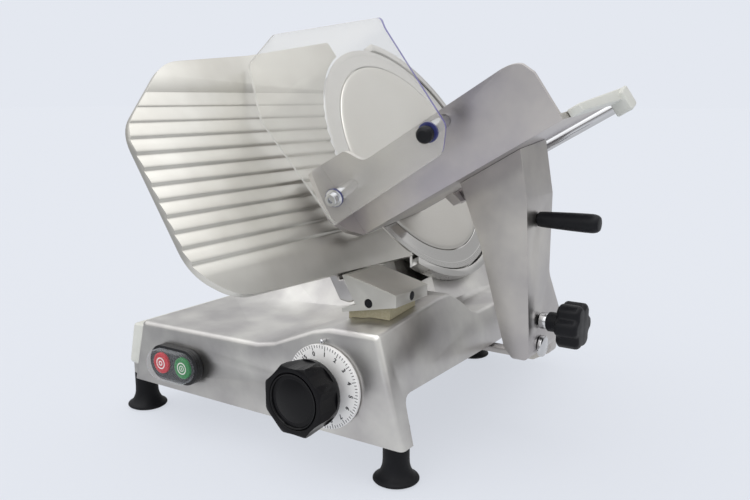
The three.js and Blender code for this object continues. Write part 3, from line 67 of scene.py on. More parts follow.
# Room: a plain pale floor that runs into a backdrop of the same colour, large soft lamps
# and the camera. The eye sees that colour, also through the clear pieces, while the metal
# mirrors a room that is brighter overhead.
class Value:
    """A number or colour that varies over a piece. Sums written with it add Math nodes."""

    def __init__(self, graph, socket):
        self.graph = graph
        self.socket = socket

    def join(self, operation, first, second=0.0):
        return self.graph.add("Math", {"operation": operation}, {0: first, 1: second})

    def __add__(self, other):
        return self.join("ADD", self, other)

    def __radd__(self, other):
        return self.join("ADD", other, self)

    def __mul__(self, other):
        return self.join("MULTIPLY", self, other)

    def __rmul__(self, other):
        return self.join("MULTIPLY", other, self)

    def __truediv__(self, other):
        return self.join("DIVIDE", self, other)

    def __pow__(self, other):
        return self.join("POWER", self, other)

    def over(self, other):
        """The larger of the two."""
        return self.join("MAXIMUM", self, other)

    def above(self, other):
        """1 where this value is larger than the other, else 0."""
        return self.join("GREATER_THAN", self, other)


class Graph:
    """The nodes of one material or of the room's backdrop."""

    def __init__(self, owner):
        owner.use_nodes = True
        self.tree = owner.node_tree

    def plug(self, socket, value):
        if isinstance(value, Value):
            self.tree.links.new(value.socket, socket)
        else:
            socket.default_value = value

    def add(self, kind, settings=None, sockets=None, output=0):
        """A new node with its settings and inputs. Stops fill a colour ramp."""
        node = self.tree.nodes.new("ShaderNode" + kind)
        for name, setting in (settings or {}).items():
            if name == "stops":
                ramp = node.color_ramp.elements
                while len(ramp) < len(setting):
                    ramp.new(0.5)
                for stop, (position, colour) in zip(ramp, setting):
                    stop.position = position
                    stop.color = colour
            else:
                setattr(node, name, setting)
        for name, value in (sockets or {}).items():
            self.plug(node.inputs[name], value)
        return Value(self, node.outputs[output])


def tone(code):
    """The linear colour of a screen code such as e4e8f0."""
    shares = [int(code[i : i + 2], 16) / 255 for i in (0, 2, 4)]
    return (*[(s + 0.055) ** 2.4 / 1.055**2.4 if s > 0.04 else s / 12.92 for s in shares], 1.0)


BACKDROP = tone("e4e8f0")
ROOM_LIGHT = tone("f2f1ef")
ROOM_LIGHT_STRENGTH = 0.5
COOL_SHARE = 1.015


def grey(level):
    """A grey a little on the cool side."""
    return (level, level, level * COOL_SHARE, 1.0)


def clear_selection():
    """Nothing is selected before a new piece is made, because an operator takes all that is."""
    bpy.ops.object.select_all(action="DESELECT")


# What the metal mirrors: the room by height (0 level, 1 straight up), darker from behind the operator,
# and the floor's glow, a painted pool of light in front of the machine that fades with the distance
# from it, in shares of FLOOR_SPAN metres, with painted shade on the left side.
ROOM_STOPS = [
    (0.0, grey(0.19)), (0.15, grey(0.21)), (0.35, grey(0.255)), (0.5, grey(0.33)), (0.75, grey(0.40)),
    (0.9, grey(0.75)), (1.0, grey(1.0)),
]
ROOM_STRENGTH = 2.2
DARK_END = grey(0.15)
# The painted pool of light in the floor's glow, and the painted shade on its left side.
PAINTED_POOL_STOPS = [
    (0.0, grey(1.0)), (0.1, grey(0.98)), (0.2, grey(0.84)), (0.3, grey(0.76)), (1.0, grey(0.66)),
]
DARK_UP_TO = -0.75
LIT_FROM = -0.2
FLOOR_SPAN = 2.0
POOL_CENTRE = (0.16, -0.38, 0.0)
PAINTED_SIDE_SHADE_LEVEL = 0.42
DIM_UP_TO = -0.42
BRIGHT_FROM = -0.1
FLOOR_GLOW = 0.72
MIRRORED_GLOW = 0.86
room = bpy.data.worlds.new("room")
scene.world = room
walls = Graph(room)
seen = walls.add("LightPath", output="Is Camera Ray").over(
    walls.add("LightPath", output="Is Transmission Ray")
)
toward = walls.add("TexCoord", output="Generated")
upward = walls.add("SeparateXYZ", {}, {0: toward}, output="Z")
backward = walls.add("SeparateXYZ", {}, {0: toward}, output="Y")
lit_share = walls.add("MapRange", {}, {0: backward, 1: DARK_UP_TO, 2: LIT_FROM, 3: 0.0, 4: 1.0})
room_levels = walls.add("ValToRGB", {"stops": ROOM_STOPS}, {0: upward})
mirrored_wall = walls.add(
    "Mix", {"data_type": "RGBA"}, {0: lit_share.over(upward), 6: DARK_END, 7: room_levels}, output=2
)
soft_wall = walls.add("Background", {}, {"Color": ROOM_LIGHT, "Strength": ROOM_LIGHT_STRENGTH})
bright_wall = walls.add("Background", {}, {"Color": mirrored_wall, "Strength": ROOM_STRENGTH})
plain_wall = walls.add("Background", {}, {"Color": BACKDROP, "Strength": 1.0})
glossy_share = walls.add("LightPath", output="Is Glossy Ray")
unseen = walls.add("MixShader", {}, {0: glossy_share, 1: soft_wall, 2: bright_wall})
wall_mix = walls.add("MixShader", {}, {0: seen, 1: unseen, 2: plain_wall})
walls.plug(walls.tree.nodes["World Output"].inputs["Surface"], wall_mix)

FLOOR_HALF = 30.0
clear_selection()
bpy.ops.mesh.primitive_plane_add(size=2 * FLOOR_HALF)
floor = bpy.context.object
floor.name = "floor"
floor_paint = bpy.data.materials.new("floor_paint")
paving = Graph(floor_paint)
floor_shader = paving.tree.nodes["Principled BSDF"]
paving.plug(floor_shader.inputs["Base Color"], BACKDROP)
paving.plug(floor_shader.inputs["Roughness"], 0.9)
paving.plug(floor_shader.inputs["Specular IOR Level"], 0.0)
floor_eye = paving.add("LightPath", output="Is Camera Ray")
floor_gloss = paving.add("LightPath", output="Is Glossy Ray")
# Painted light for the metal to mirror: a pool of light painted into the floor's glow, with painted
# shade on its left side.
floor_spot = paving.add("TexCoord", output="Object")
away = paving.add(
    "VectorMath", {"operation": "DISTANCE"}, {0: floor_spot, 1: POOL_CENTRE}, output="Value"
)
pool = paving.add("ValToRGB", {"stops": PAINTED_POOL_STOPS}, {0: away / FLOOR_SPAN})
sideways = paving.add("SeparateXYZ", {}, {0: floor_spot}, output="X")
painted_side_shade = paving.add(
    "MapRange", {}, {0: sideways, 1: DIM_UP_TO, 2: BRIGHT_FROM, 3: PAINTED_SIDE_SHADE_LEVEL, 4: 1.0}
)
painted_floor_light = paving.add(
    "Mix", {"data_type": "RGBA", "blend_type": "MULTIPLY"}, {0: 1.0, 6: pool, 7: painted_side_shade}, output=2
)
glow_colour = paving.add(
    "Mix", {"data_type": "RGBA"}, {0: floor_eye, 6: painted_floor_light, 7: BACKDROP}, output=2
)
floor_glow = paving.add("Emission", {}, {"Color": glow_colour, "Strength": 1.0})
floor_matt = Value(paving, floor_shader.outputs[0])
glow_share = FLOOR_GLOW * floor_eye.over(MIRRORED_GLOW * floor_gloss)
floor_mix = paving.add("MixShader", {}, {0: glow_share, 1: floor_matt, 2: floor_glow})
paving.plug(paving.tree.nodes["Material Output"].inputs["Surface"], floor_mix)
floor.data.materials.append(floor_paint)

# Each lamp: name, compass turn from the front, height over the floor, softness, strength
for name, turn, rise, softness, strength in [
    ("key_lamp", -30, 55, 100, 1.4),
    ("fill_lamp", 50, 40, 110, 0.7),
    ("back_lamp", 200, 55, 100, 0.3),
]:
    lamp = bpy.data.lights.new(name, "SUN")
    lamp.angle = math.radians(softness)
    lamp.energy = strength
    stand = bpy.data.objects.new(name, lamp)
    scene.collection.objects.link(stand)
    stand.rotation_euler = Euler((math.radians(90 - rise), 0, math.radians(turn)))

CAMERA_PLACE = Vector((0.4952, -0.7470, 0.3667))
CAMERA_TURN = math.radians(33.4)
CAMERA_DIP = math.radians(10.8)
SENSOR_WIDTH = 36.0
LENS_PIXELS = 796.0
FRAME_PIXELS = 750.0
camera_data = bpy.data.cameras.new("camera")
camera_data.sensor_width = SENSOR_WIDTH
camera_data.lens = SENSOR_WIDTH * LENS_PIXELS / FRAME_PIXELS
camera = bpy.data.objects.new("camera", camera_data)
scene.collection.objects.link(camera)
camera.location = CAMERA_PLACE
camera.rotation_euler = Euler((math.pi / 2 - CAMERA_DIP, 0, CAMERA_TURN))
scene.camera = camera
scene.view_settings.view_transform = "Standard"


# Base: one aluminium casting, sand cast, machined on the seats, blasted and anodised. Its
# edges are rounded by the mould, and fine blotches of the anodising show on the large faces.
class Finish(Graph):
    """A surface finish, one material whose patterns follow the piece's own coordinates."""

    def __init__(self, name, base, rough, metal=0.0, **fixed):
        self.material = bpy.data.materials.new(name)
        super().__init__(self.material)
        self.shader = self.tree.nodes["Principled BSDF"]
        self.place = self.add("TexCoord", output="Object")
        self.set("Base Color", base)
        self.set("Roughness", rough)
        self.set("Metallic", metal)
        for socket, value in fixed.items():
            self.set(socket.replace("_", " "), value)

    def set(self, socket, value):
        """Gives one of the surface's own inputs a value."""
        self.plug(self.shader.inputs[socket], value)

    def stretched(self, across):
        """The piece's coordinates scaled along each axis, so that a grain runs one way."""
        return self.add("Mapping", {"vector_type": "POINT"}, {"Vector": self.place, "Scale": across})

    def noise(self, scale, detail=3.0, place=None):
        """Soft random spots, from about 0.3 to 0.7, so many to a metre."""
        source = self.place if place is None else place
        return self.add("TexNoise", {}, {"Vector": source, "Scale": scale, "Detail": detail})

    def blend(self, factor, low, high):
        """Goes from the colour low to the colour high."""
        sockets = {0: factor, 6: low, 7: high}
        return self.add("Mix", {"data_type": "RGBA"}, sockets, output=2)

    def bump(self, height, strength, depth):
        """Fine relief in the light only, so deep in metres."""
        sockets = {"Height": height, "Strength": strength, "Distance": depth}
        self.set("Normal", self.add("Bump", {}, sockets))

    def range(self, value, low, high, from_low=0.3, from_high=0.7):
        """Goes from low to high while the value goes from from_low to from_high."""
        sockets = {0: value, 1: from_low, 2: from_high, 3: low, 4: high}
        return self.add("MapRange", {}, sockets)


cast_satin = Finish("cast_satin", tone("c6c5c2"), rough=0.36, metal=1.0)
blotches = cast_satin.noise(18.0, detail=4.0)
grit = cast_satin.noise(1400.0, detail=2.0)
cast_patch = cast_satin.range(blotches, 0.0, 1.0, 0.36, 0.64)
cast_satin.set("Base Color", cast_satin.blend(cast_patch, tone("b7b5b4"), tone("d0cfcb")))
cast_satin.set("Roughness", cast_satin.range(blotches + 0.15 * grit, 0.30, 0.42, 0.3, 0.85))
cast_satin.bump(grit, strength=0.25, depth=0.06 * MM)

body_of = {node: solid["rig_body"] for node, solid in frame["nodes"].items()}


def picked(piece):
    """Only this piece is selected, for the operators that follow."""
    clear_selection()
    bpy.context.view_layer.objects.active = piece
    piece.select_set(True)


def painted(finish, *nodes):
    """These solids are in this finish."""
    for node in nodes:
        mesh = frame["nodes"][node].data
        mesh.materials.clear()
        mesh.materials.append(finish.material)


def fitted(piece, node, finish):
    """The piece stands for the solid of that name, and moves with the solid's body."""
    painted(finish, node)
    piece.data.materials.clear()
    piece.data.materials.append(finish.material)
    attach(piece, body_of[node])


def rounded_edges(piece, radius, steps=2, sharp=35.0, arcs=False):
    """Every edge sharper than that many degrees is rounded to the radius."""
    picked(piece)
    edge = piece.modifiers.new("edge", "BEVEL")
    edge.width = radius
    edge.segments = steps
    edge.limit_method = "ANGLE"
    edge.angle_limit = math.radians(sharp)
    if arcs:
        edge.miter_outer = "MITER_ARC"
    bpy.ops.object.modifier_apply(modifier="edge")
    bpy.ops.object.shade_smooth_by_angle(angle=math.radians(sharp))


def softened(node, finish, radius, steps=3, sharp=35.0):
    """A casting as it comes from the mould: its solid, with flat faces and rounded edges."""
    solid = frame["nodes"][node]
    piece = bpy.data.objects.new(node + "_casting", solid.data.copy())
    scene.collection.objects.link(piece)
    picked(piece)
    bpy.ops.mesh.customdata_custom_splitnormals_clear()
    bpy.ops.object.mode_set(mode="EDIT")
    bpy.ops.mesh.select_all(action="SELECT")
    bpy.ops.mesh.remove_doubles(threshold=2e-6)
    bpy.ops.mesh.dissolve_limited(angle_limit=math.radians(1.0))
    bpy.ops.object.mode_set(mode="OBJECT")
    if radius:
        rounded_edges(piece, radius, steps, sharp, arcs=True)
    else:
        bpy.ops.object.shade_smooth_by_angle(angle=math.radians(sharp))
    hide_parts(node)
    fitted(piece, node, finish)
    return piece


softened("base_casting", cast_satin, radius=1.2 * MM, steps=2, sharp=42.0)

# Bottom plate, side cover and cable gland: a zinc-pale steel sheet, a cream moulded cover on
# the motor's side and a black nylon gland, all screwed to the base.
sheet_satin = Finish("sheet_satin", tone("bcbcba"), rough=0.4, metal=1.0)
sheet_satin.bump(sheet_satin.noise(900.0), strength=0.2, depth=0.05 * MM)
painted(sheet_satin, "bottom_plate")

cream_moulding = Finish("cream_moulding", tone("d3d4ce"), rough=0.42)
haze = cream_moulding.noise(30.0)
cream_moulding.set("Base Color", cream_moulding.blend(haze, tone("cfd0c9"), tone("d9dad4")))
cream_moulding.bump(cream_moulding.noise(1500.0, detail=2.0), strength=0.15, depth=0.04 * MM)
softened("side_cover", cream_moulding, radius=1.5 * MM)

black_moulding = Finish("black_moulding", tone("101115"), rough=0.42, Specular_IOR_Level=0.2)
sheen = black_moulding.noise(60.0)
black_moulding.set("Roughness", black_moulding.range(sheen, 0.36, 0.5))
black_moulding.set("Base Color", black_moulding.blend(sheen, tone("0b0c0f"), tone("15161b")))
black_moulding.bump(black_moulding.noise(2200.0, detail=2.0), strength=0.2, depth=0.04 * MM)
softened("cable_gland", black_moulding, radius=0.5 * MM, steps=2)


# Feet: four moulded rubber feet under the base's corners, each a slim neck that flares to a
# wide flange.
def set_down(piece, place):
    """The piece goes to its place, which is then written into its mesh."""
    picked(piece)
    piece.matrix_world = place
    bpy.ops.object.transform_apply(location=True, rotation=True, scale=True)


def smoothed(piece, angle=35.0):
    """Double points joined, faces turned out, and edges under that many degrees smooth."""
    picked(piece)
    bpy.ops.object.mode_set(mode="EDIT")
    bpy.ops.mesh.select_all(action="SELECT")
    bpy.ops.mesh.remove_doubles(threshold=1e-6)
    bpy.ops.mesh.normals_make_consistent(inside=False)
    bpy.ops.object.mode_set(mode="OBJECT")
    bpy.ops.object.shade_smooth_by_angle(angle=math.radians(angle))


def turned(name, profile, place, segments=64, open_bore=False, angle=35.0):
    """A turned piece: a disc drawn out along its axis through each (radius, height) in mm."""
    clear_selection()
    profile = [(radius * MM, height * MM) for radius, height in profile]
    first_radius, first_height = profile[0]
    bpy.ops.mesh.primitive_circle_add(
        vertices=segments,
        radius=first_radius,
        fill_type="NOTHING" if open_bore else "NGON",
        location=(0, 0, first_height),
    )
    piece = bpy.context.object
    piece.name = name
    bpy.ops.object.mode_set(mode="EDIT")
    for (before, low), (radius, high) in zip(profile, profile[1:]):
        bpy.ops.mesh.extrude_region_move(TRANSFORM_OT_translate={"value": (0, 0, high - low)})
        share = radius / before
        bpy.ops.transform.resize(value=(share, share, 1), center_override=(0, 0, high))
    bpy.ops.object.mode_set(mode="OBJECT")
    smoothed(piece, angle)
    set_down(piece, place @ piece.matrix_world)
    return piece


def copied(piece, name, place):
    """A copy of the piece with a mesh of its own, at its place."""
    copy = bpy.data.objects.new(name, piece.data.copy())
    scene.collection.objects.link(copy)
    set_down(copy, place)
    return copy


def standing(x, y, z):
    """An upright place at this point."""
    return Matrix.Translation((x, y, z))


def middle(node):
    """The middle of a solid's box."""
    low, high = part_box(node)
    return (low + high) / 2


foot_rubber = Finish("foot_rubber", tone("0e0f13"), rough=0.55, Specular_IOR_Level=0.2)
dust = foot_rubber.noise(80.0)
foot_rubber.set("Base Color", foot_rubber.blend(dust, tone("0a0b0e"), tone("131419")))
foot_rubber.bump(foot_rubber.noise(2600.0, detail=2.0), strength=0.3, depth=0.05 * MM)
FOOT_PROFILE = [
    (18.6, 0.0), (20.0, 0.3), (22.2, 1.6), (23.0, 2.6), (23.0, 3.6), (22.4, 4.6), (20.2, 6.0),
    (17.6, 8.2), (15.8, 11.2), (14.4, 14.6), (13.5, 18.5), (13.2, 24.0), (13.2, 42.9), (12.4, 43.7),
]
foot_pattern = turned("foot_pattern", FOOT_PROFILE, standing(0, 0, 0))
for corner in ("front_right", "front_left", "rear_left", "rear_right"):
    node = corner + "_foot"
    spot = middle(node)
    foot = copied(foot_pattern, corner + "_rubber_foot", standing(spot.x, spot.y, 0))
    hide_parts(node)
    fitted(foot, node, foot_rubber)
bpy.data.objects.remove(foot_pattern)

# Blade housing: an aluminium dish with the bearing hub, and the guard ring that shields the
# blade's edge on the far side. Turned and polished on the ring, so it mirrors more.
blade_joint = next(joint for joint in frame["joints"] if joint["name"] == "blade_spin")
BLADE_CENTRE = Vector(blade_joint["pos_m"])
BLADE_TILT = math.radians(30)
OUT = Vector((math.cos(BLADE_TILT), 0, math.sin(BLADE_TILT)))
UP = Vector((-math.sin(BLADE_TILT), 0, math.cos(BLADE_TILT)))
BACK = Vector((0, 1, 0))


def placed(origin, x, y, z):
    """The place of a piece whose own axes lie along x, y and z."""
    turn = Matrix((x, y, z)).transposed().to_4x4()
    return Matrix.Translation(origin) @ turn


blade_place = placed(BLADE_CENTRE, BACK, UP, OUT)


class TurnedFinish(Finish):
    """A finish cut on a lathe: its marks run in rings about the blade's axis."""

    def __init__(self, name, base, rough, metal=0.0, **fixed):
        super().__init__(name, base, rough, metal, **fixed)
        turn = blade_place.to_euler()
        own = {"Vector": self.place, "Location": BLADE_CENTRE, "Rotation": turn}
        local = self.add("Mapping", {"vector_type": "TEXTURE"}, own)
        x = self.add("SeparateXYZ", {}, {0: local}, output=0)
        y = self.add("SeparateXYZ", {}, {0: local}, output=1)
        self.radius = (x * x + y * y) ** 0.5

    def rings(self, scale, detail=2.0):
        """The marks of the tool, so many to a metre of radius."""
        settings = {"noise_dimensions": "1D"}
        return self.add("TexNoise", settings, {"W": self.radius, "Scale": scale, "Detail": detail})


ring_satin = TurnedFinish("ring_satin", tone("c9c8c5"), rough=0.3, metal=1.0)
ring_marks = ring_satin.rings(1500.0)
ring_cloud = ring_satin.noise(22.0)
ring_satin.set("Roughness", ring_satin.range(ring_cloud, 0.24, 0.36))
ring_satin.set("Base Color", ring_satin.blend(ring_cloud, tone("c2c1bd"), tone("d0cfcd")))
ring_satin.bump(ring_marks, strength=0.12, depth=0.05 * MM)
softened("blade_housing", ring_satin, radius=0.8 * MM, steps=2, sharp=40.0)

# Blade: a hollow-ground disc of hardened chromium steel, bored for its hub. The ground
# bevel at the rim is brighter than the mirror band inside it.
BLADE_PROFILE = [
    (20.0, -7.0), (60.0, -6.6), (126.0, -5.5), (149.0, -1.7), (149.9, -1.25), (150.0, -0.95),
    (149.9, -0.7), (143.0, -0.35), (142.6, -0.5), (136.0, -0.42), (128.4, -0.12), (127.6, -0.1),
    (126.8, -0.6), (126.6, -4.0), (20.0, -4.0), (20.0, -7.0),
]
blade_steel = TurnedFinish("blade_steel", tone("cccbc8"), rough=0.12, metal=1.0)
grind = blade_steel.rings(2400.0, detail=3.0)
GROUND_FROM = 142.8
GROUND_ROUGHER_BY = 0.14
ground_rim = blade_steel.radius.above(GROUND_FROM * MM)
polish = blade_steel.range(grind, 0.07, 0.15)
blade_steel.set("Roughness", polish + GROUND_ROUGHER_BY * ground_rim)
blade_steel.bump(grind, strength=0.10, depth=0.04 * MM)
blade = turned("ground_blade", BLADE_PROFILE, blade_place, segments=192, open_bore=True, angle=20.0)
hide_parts("blade")
fitted(blade, "blade", blade_steel)

# Spindle, bearings, pulleys, belt and motor: the drive inside the base and the housing, of
# ground steel, grey iron and ribbed rubber.
ground_steel = Finish("ground_steel", tone("c8c9cb"), rough=0.18, metal=1.0)
ground_steel.set("Roughness", ground_steel.range(ground_steel.noise(120.0), 0.12, 0.24))
painted(ground_steel, "blade_spindle", "rear_bearing", "front_bearing", "cover_tie_rod")
painted(ground_steel, "dial_spindle", "gauge_bar", "slide_rod", "guide_bar", "wheel_pin")
motor_cast = Finish("motor_cast", tone("9a9b9c"), rough=0.5, metal=1.0)
motor_cast.bump(motor_cast.noise(700.0), strength=0.4, depth=0.1 * MM)
painted(motor_cast, "drive_motor", "motor_pulley", "blade_pulley", "gauge_carrier")
painted(motor_cast, "carriage_slider")
belt_rubber = Finish("belt_rubber", tone("1b1b1d"), rough=0.7)
belt_rubber.bump(belt_rubber.noise(1200.0), strength=0.4, depth=0.1 * MM)
painted(belt_rubber, "drive_belt")
painted(black_moulding, "contact_block")

# Blade cover: a slightly domed aluminium disc inside the blade, turned to a fine satin, and
# held by the tie rod through the spindle. It doesn't turn, and lifts off for cleaning.
COVER_PROFILE = [
    (125.4, -3.7), (125.9, -3.2), (125.9, -0.6), (125.2, 0.35), (123.6, 1.0), (121.0, 1.2),
    (112.0, 1.05), (90.0, 0.75), (60.0, 0.5), (30.0, 0.35), (6.0, 0.3),
]
cover_satin = TurnedFinish("cover_satin", tone("cfccc6"), rough=0.34, metal=1.0)
cover_rings = cover_satin.rings(900.0, detail=4.0)
cover_cloud = cover_satin.noise(14.0)
cover_satin.set("Roughness", cover_satin.range(cover_rings, 0.28, 0.42))
cover_satin.set("Base Color", cover_satin.blend(cover_cloud, tone("c8c5be"), tone("d3d1cc")))
cover_satin.bump(cover_rings, strength=0.14, depth=0.06 * MM)
cover = turned("satin_blade_cover", COVER_PROFILE, blade_place, segments=160, angle=25.0)
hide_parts("blade_cover")
fitted(cover, "blade_cover", cover_satin)

softened("cover_knob", black_moulding, radius=1.2 * MM)
mirror_steel = Finish("mirror_steel", tone("c9cacc"), rough=0.12, metal=1.0)
mirror_steel.set("Roughness", mirror_steel.range(mirror_steel.noise(160.0), 0.06, 0.16))
softened("slice_deflector", mirror_steel, radius=0.3 * MM, steps=2)

# Gauge plate: an anodised aluminium casting with long flutes that the food glides on. Each
# flute is a shallow convex strip whose lower edge stands proud of the one below.
plate_satin = Finish("plate_satin", tone("cfcec9"), rough=0.33, metal=1.0)
plate_cloud = plate_satin.noise(9.0, detail=4.0)
plate_patch = plate_satin.range(plate_cloud, 0.0, 1.0, 0.34, 0.66)
plate_grain = plate_satin.noise(260.0, place=plate_satin.stretched((1.0, 0.06, 1.0)))
plate_satin.set("Base Color", plate_satin.blend(plate_patch, tone("c3c1ba"), tone("dbdad4")))
plate_wear = plate_cloud + 0.2 * plate_grain
plate_satin.set("Roughness", plate_satin.range(plate_wear, 0.35, 0.45, 0.35, 0.85))
plate_satin.bump(plate_grain, strength=0.10, depth=0.05 * MM)

# Millimetres about the blade's centre: across the plate, up its slope, and out from it.
PLATE_FRONT = -0.6
PLATE_THICKNESS = 7.0
PLATE_BACK = PLATE_FRONT - PLATE_THICKNESS
BLADE_GAP_RADIUS = 152.6
PLATE_CORNERS = [
    (-70, 157, 4), (-224, 131.5, 60), (-344, 119, 60), (-416.4, 54, 40), (-410, -78, 50),
    (-373, -108, 60), (-96, -118, 2), (-60, -100, 0), (-60, 120, 0),
]
FLUTE_COUNT = 12
FLUTE_PITCH = 14.5
FLUTE_DEPTH = 2.3
FLUTE_FADE = 5
FIRST_FLUTE = -85.0
LEAD_IN_SHARE = 0.12
BLANK_REACH = 200.0
BLANK_LEFT = -440.0
BLANK_RIGHT = -20.0
FACE_LOW = -12.0
FACE_HIGH = 4.0
BLADE_CUT_LENGTH = 60.0
FLUTE_SHARES = [
    (0.0, 0.45), (0.04, 0.18), (0.09, 0.04), (0.14, 0.0), (0.25, 0.07), (0.4, 0.21), (0.55, 0.39),
    (0.7, 0.60), (0.82, 0.79), (0.9, 0.91), (0.945, 0.9), (0.975, 0.72),
]


def curve(start, corner, end, steps):
    """The points of a smooth curve from start to end that turns at the corner."""
    points = []
    for step in range(steps + 1):
        share = step / steps
        points.append(start.lerp(corner, share).lerp(corner.lerp(end, share), share))
    return points


def rounded(corners, steps=8):
    """The points of an outline whose corners (x, y, radius) are rounded off."""
    points = []
    for i, (x, y, radius) in enumerate(corners):
        corner = Vector((x, y))
        before = (Vector(corners[i - 1][:2]) - corner).normalized()
        after = (Vector(corners[(i + 1) % len(corners)][:2]) - corner).normalized()
        if radius == 0:
            points.append(corner)
            continue
        half = before.angle(after) / 2
        reach = radius / math.tan(half)
        points += curve(corner + before * reach, corner, corner + after * reach, steps)
    return points


def drawn(name, points, low, high, place=None):
    """A plate cut to an outline: a disc with one corner for each point, drawn out in height."""
    clear_selection()
    bpy.ops.mesh.primitive_circle_add(vertices=len(points), radius=1.0, fill_type="NGON")
    plate = bpy.context.object
    plate.name = name
    for vertex, (x, y) in zip(plate.data.vertices, points):
        vertex.co = (x * MM, y * MM, low * MM)
    bpy.ops.object.mode_set(mode="EDIT")
    bpy.ops.mesh.select_all(action="SELECT")
    bpy.ops.mesh.extrude_region_move(
        TRANSFORM_OT_translate={"value": (0, 0, (high - low) * MM)}
    )
    bpy.ops.mesh.select_all(action="SELECT")
    bpy.ops.mesh.normals_make_consistent(inside=False)
    bpy.ops.object.mode_set(mode="OBJECT")
    if place is not None:
        set_down(plate, place)
    return plate


def drum(radius, length, place, steps=192):
    """A cylinder in millimetres, to cut with."""
    clear_selection()
    bpy.ops.mesh.primitive_cylinder_add(vertices=steps, radius=radius * MM, depth=length * MM)
    tool = bpy.context.object
    tool.matrix_world = place
    return tool


def carved(piece, tool, operation):
    """The tool is taken from the piece, or only what both hold is kept."""
    cut = piece.modifiers.new("cut", "BOOLEAN")
    cut.operation = operation
    cut.object = tool
    cut.solver = "EXACT"
    picked(piece)
    bpy.ops.object.modifier_apply(modifier="cut")
    bpy.data.objects.remove(tool)


flute_line = [(-BLANK_REACH, PLATE_FRONT)]
for flute in range(FLUTE_COUNT):
    depth = FLUTE_DEPTH * min(1.0, (FLUTE_COUNT - flute) / FLUTE_FADE)
    for across, deep in FLUTE_SHARES:
        if flute == 0 and across < LEAD_IN_SHARE:
            continue
        slope_place = FIRST_FLUTE + (flute + across) * FLUTE_PITCH
        flute_line.append((slope_place, PLATE_FRONT - deep * depth))
flute_line.append((FIRST_FLUTE + FLUTE_COUNT * FLUTE_PITCH, PLATE_FRONT))
flute_line += [(BLANK_REACH, PLATE_FRONT), (BLANK_REACH, PLATE_BACK), (-BLANK_REACH, PLATE_BACK)]
flute_place = Matrix(((0, 0, 1, 0), (1, 0, 0, 0), (0, 1, 0, 0), (0, 0, 0, 1)))
gauge_plate = drawn("fluted_gauge_plate", flute_line, BLANK_LEFT, BLANK_RIGHT, flute_place)
plate_face = drawn("plate_face", rounded(PLATE_CORNERS), FACE_LOW, FACE_HIGH)
carved(gauge_plate, plate_face, "INTERSECT")
blade_room = drum(BLADE_GAP_RADIUS, BLADE_CUT_LENGTH, standing(0, 0, 0))
carved(gauge_plate, blade_room, "DIFFERENCE")
set_down(gauge_plate, blade_place)
rounded_edges(gauge_plate, radius=0.45 * MM, steps=2, sharp=50.0)
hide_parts("gauge_plate")
fitted(gauge_plate, "gauge_plate", plate_satin)

# Gauge block and bracket: the plate stands on a wedge-shaped block that slides over the base
# on its seal, which fills the room under the block's slanted foot. Two black plugs close the
# block's screw holes.
softened("gauge_bracket", cast_satin, radius=2.0 * MM)
softened("gauge_block", plate_satin, radius=1.3 * MM, steps=3, sharp=30.0)
softened("front_plug", black_moulding, radius=0.6 * MM)
softened("side_plug", black_moulding, radius=0.6 * MM)
# The felt's colour is its own tone darkened by painted shade, for the shade under the block; its fluff
# varies at random.
seal_felt = Finish("seal_felt", tone("a39c80"), rough=0.8)
seal_fluff = seal_felt.noise(400.0)
seal_felt.set("Base Color", seal_felt.blend(seal_fluff, tone("968e70"), tone("b5af98")))
seal_felt.bump(seal_fluff, strength=0.5, depth=0.2 * MM)
seal = softened("slot_seal", seal_felt, radius=0.0)
_, seal_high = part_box("slot_seal")
block_low, block_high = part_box("gauge_block")
UNDERSIDE_X = 46.1 * MM
UNDERSIDE_Z = 158.0 * MM
UNDERSIDE_SLOPE = 13.0 / 63.1
FACING_UP = 0.3
SEAL_GAP = 0.5 * MM
SEAL_INSET = Vector((3.0, 8.0, 0.0)) * MM
SEAL_RIGHT_INSET = 12.0 * MM
OVERRUN = 1.0 * MM


def block(size, place):
    """A box of this size in metres about its place."""
    clear_selection()
    bpy.ops.mesh.primitive_cube_add(size=1.0)
    piece = bpy.context.object
    set_down(piece, place @ Matrix.Diagonal((*size, 1)))
    return piece


for vertex, is_top in [(v, v.normal.z > FACING_UP) for v in seal.data.vertices]:
    if is_top:
        vertex.co.z = UNDERSIDE_Z + (vertex.co.x - UNDERSIDE_X) * UNDERSIDE_SLOPE - SEAL_GAP
trim_low = Vector((block_low.x, block_low.y, 0.0)) + SEAL_INSET
trim_high = Vector((block_high.x - SEAL_RIGHT_INSET, seal_high.y + OVERRUN, 2 * UNDERSIDE_Z))
trim = block(trim_high - trim_low, Matrix.Translation((trim_low + trim_high) / 2))
carved(seal, trim, "INTERSECT")

# Thickness dial: a white anodised scale ring with 80 printed ticks and the numbers 0 to 15,
# a black knob of eight shallow facets on a neck, and a glossy cap pressed into its face.
dial_low, dial_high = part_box("dial_ring")
DIAL_X = (dial_low.x + dial_high.x) / 2
DIAL_Z = (dial_low.z + dial_high.z) / 2
FRONT = Vector((0, -1, 0))
RIGHT = Vector((1, 0, 0))
HIGH = Vector((0, 0, 1))


def facing_front(x, y, z):
    """The place of a piece drawn as seen from the front: x right, y up, z to the operator."""
    return placed(Vector((x, y, z)), RIGHT, HIGH, FRONT)


RING_DEPTH = (dial_high.y - dial_low.y) / MM
RING_PROFILE = [
    (40.8, 0.0), (40.8, 1.2), (42.3, 1.3), (42.3, RING_DEPTH - 0.5), (42.1, RING_DEPTH - 0.15),
    (41.8, RING_DEPTH), (20.0, RING_DEPTH),
]
dial_place = facing_front(DIAL_X, dial_high.y, DIAL_Z)
scale_white = Finish("scale_white", tone("f7f6f5"), rough=0.32, Coat_Weight=0.15)
scale_white.set("Roughness", scale_white.range(scale_white.noise(90.0), 0.28, 0.38))
scale_white.bump(scale_white.noise(1800.0, detail=2.0), strength=0.08, depth=0.04 * MM)
ring = turned("scale_ring", RING_PROFILE, dial_place, segments=128, angle=30.0)
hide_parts("dial_ring")
fitted(ring, "dial_ring", scale_white)

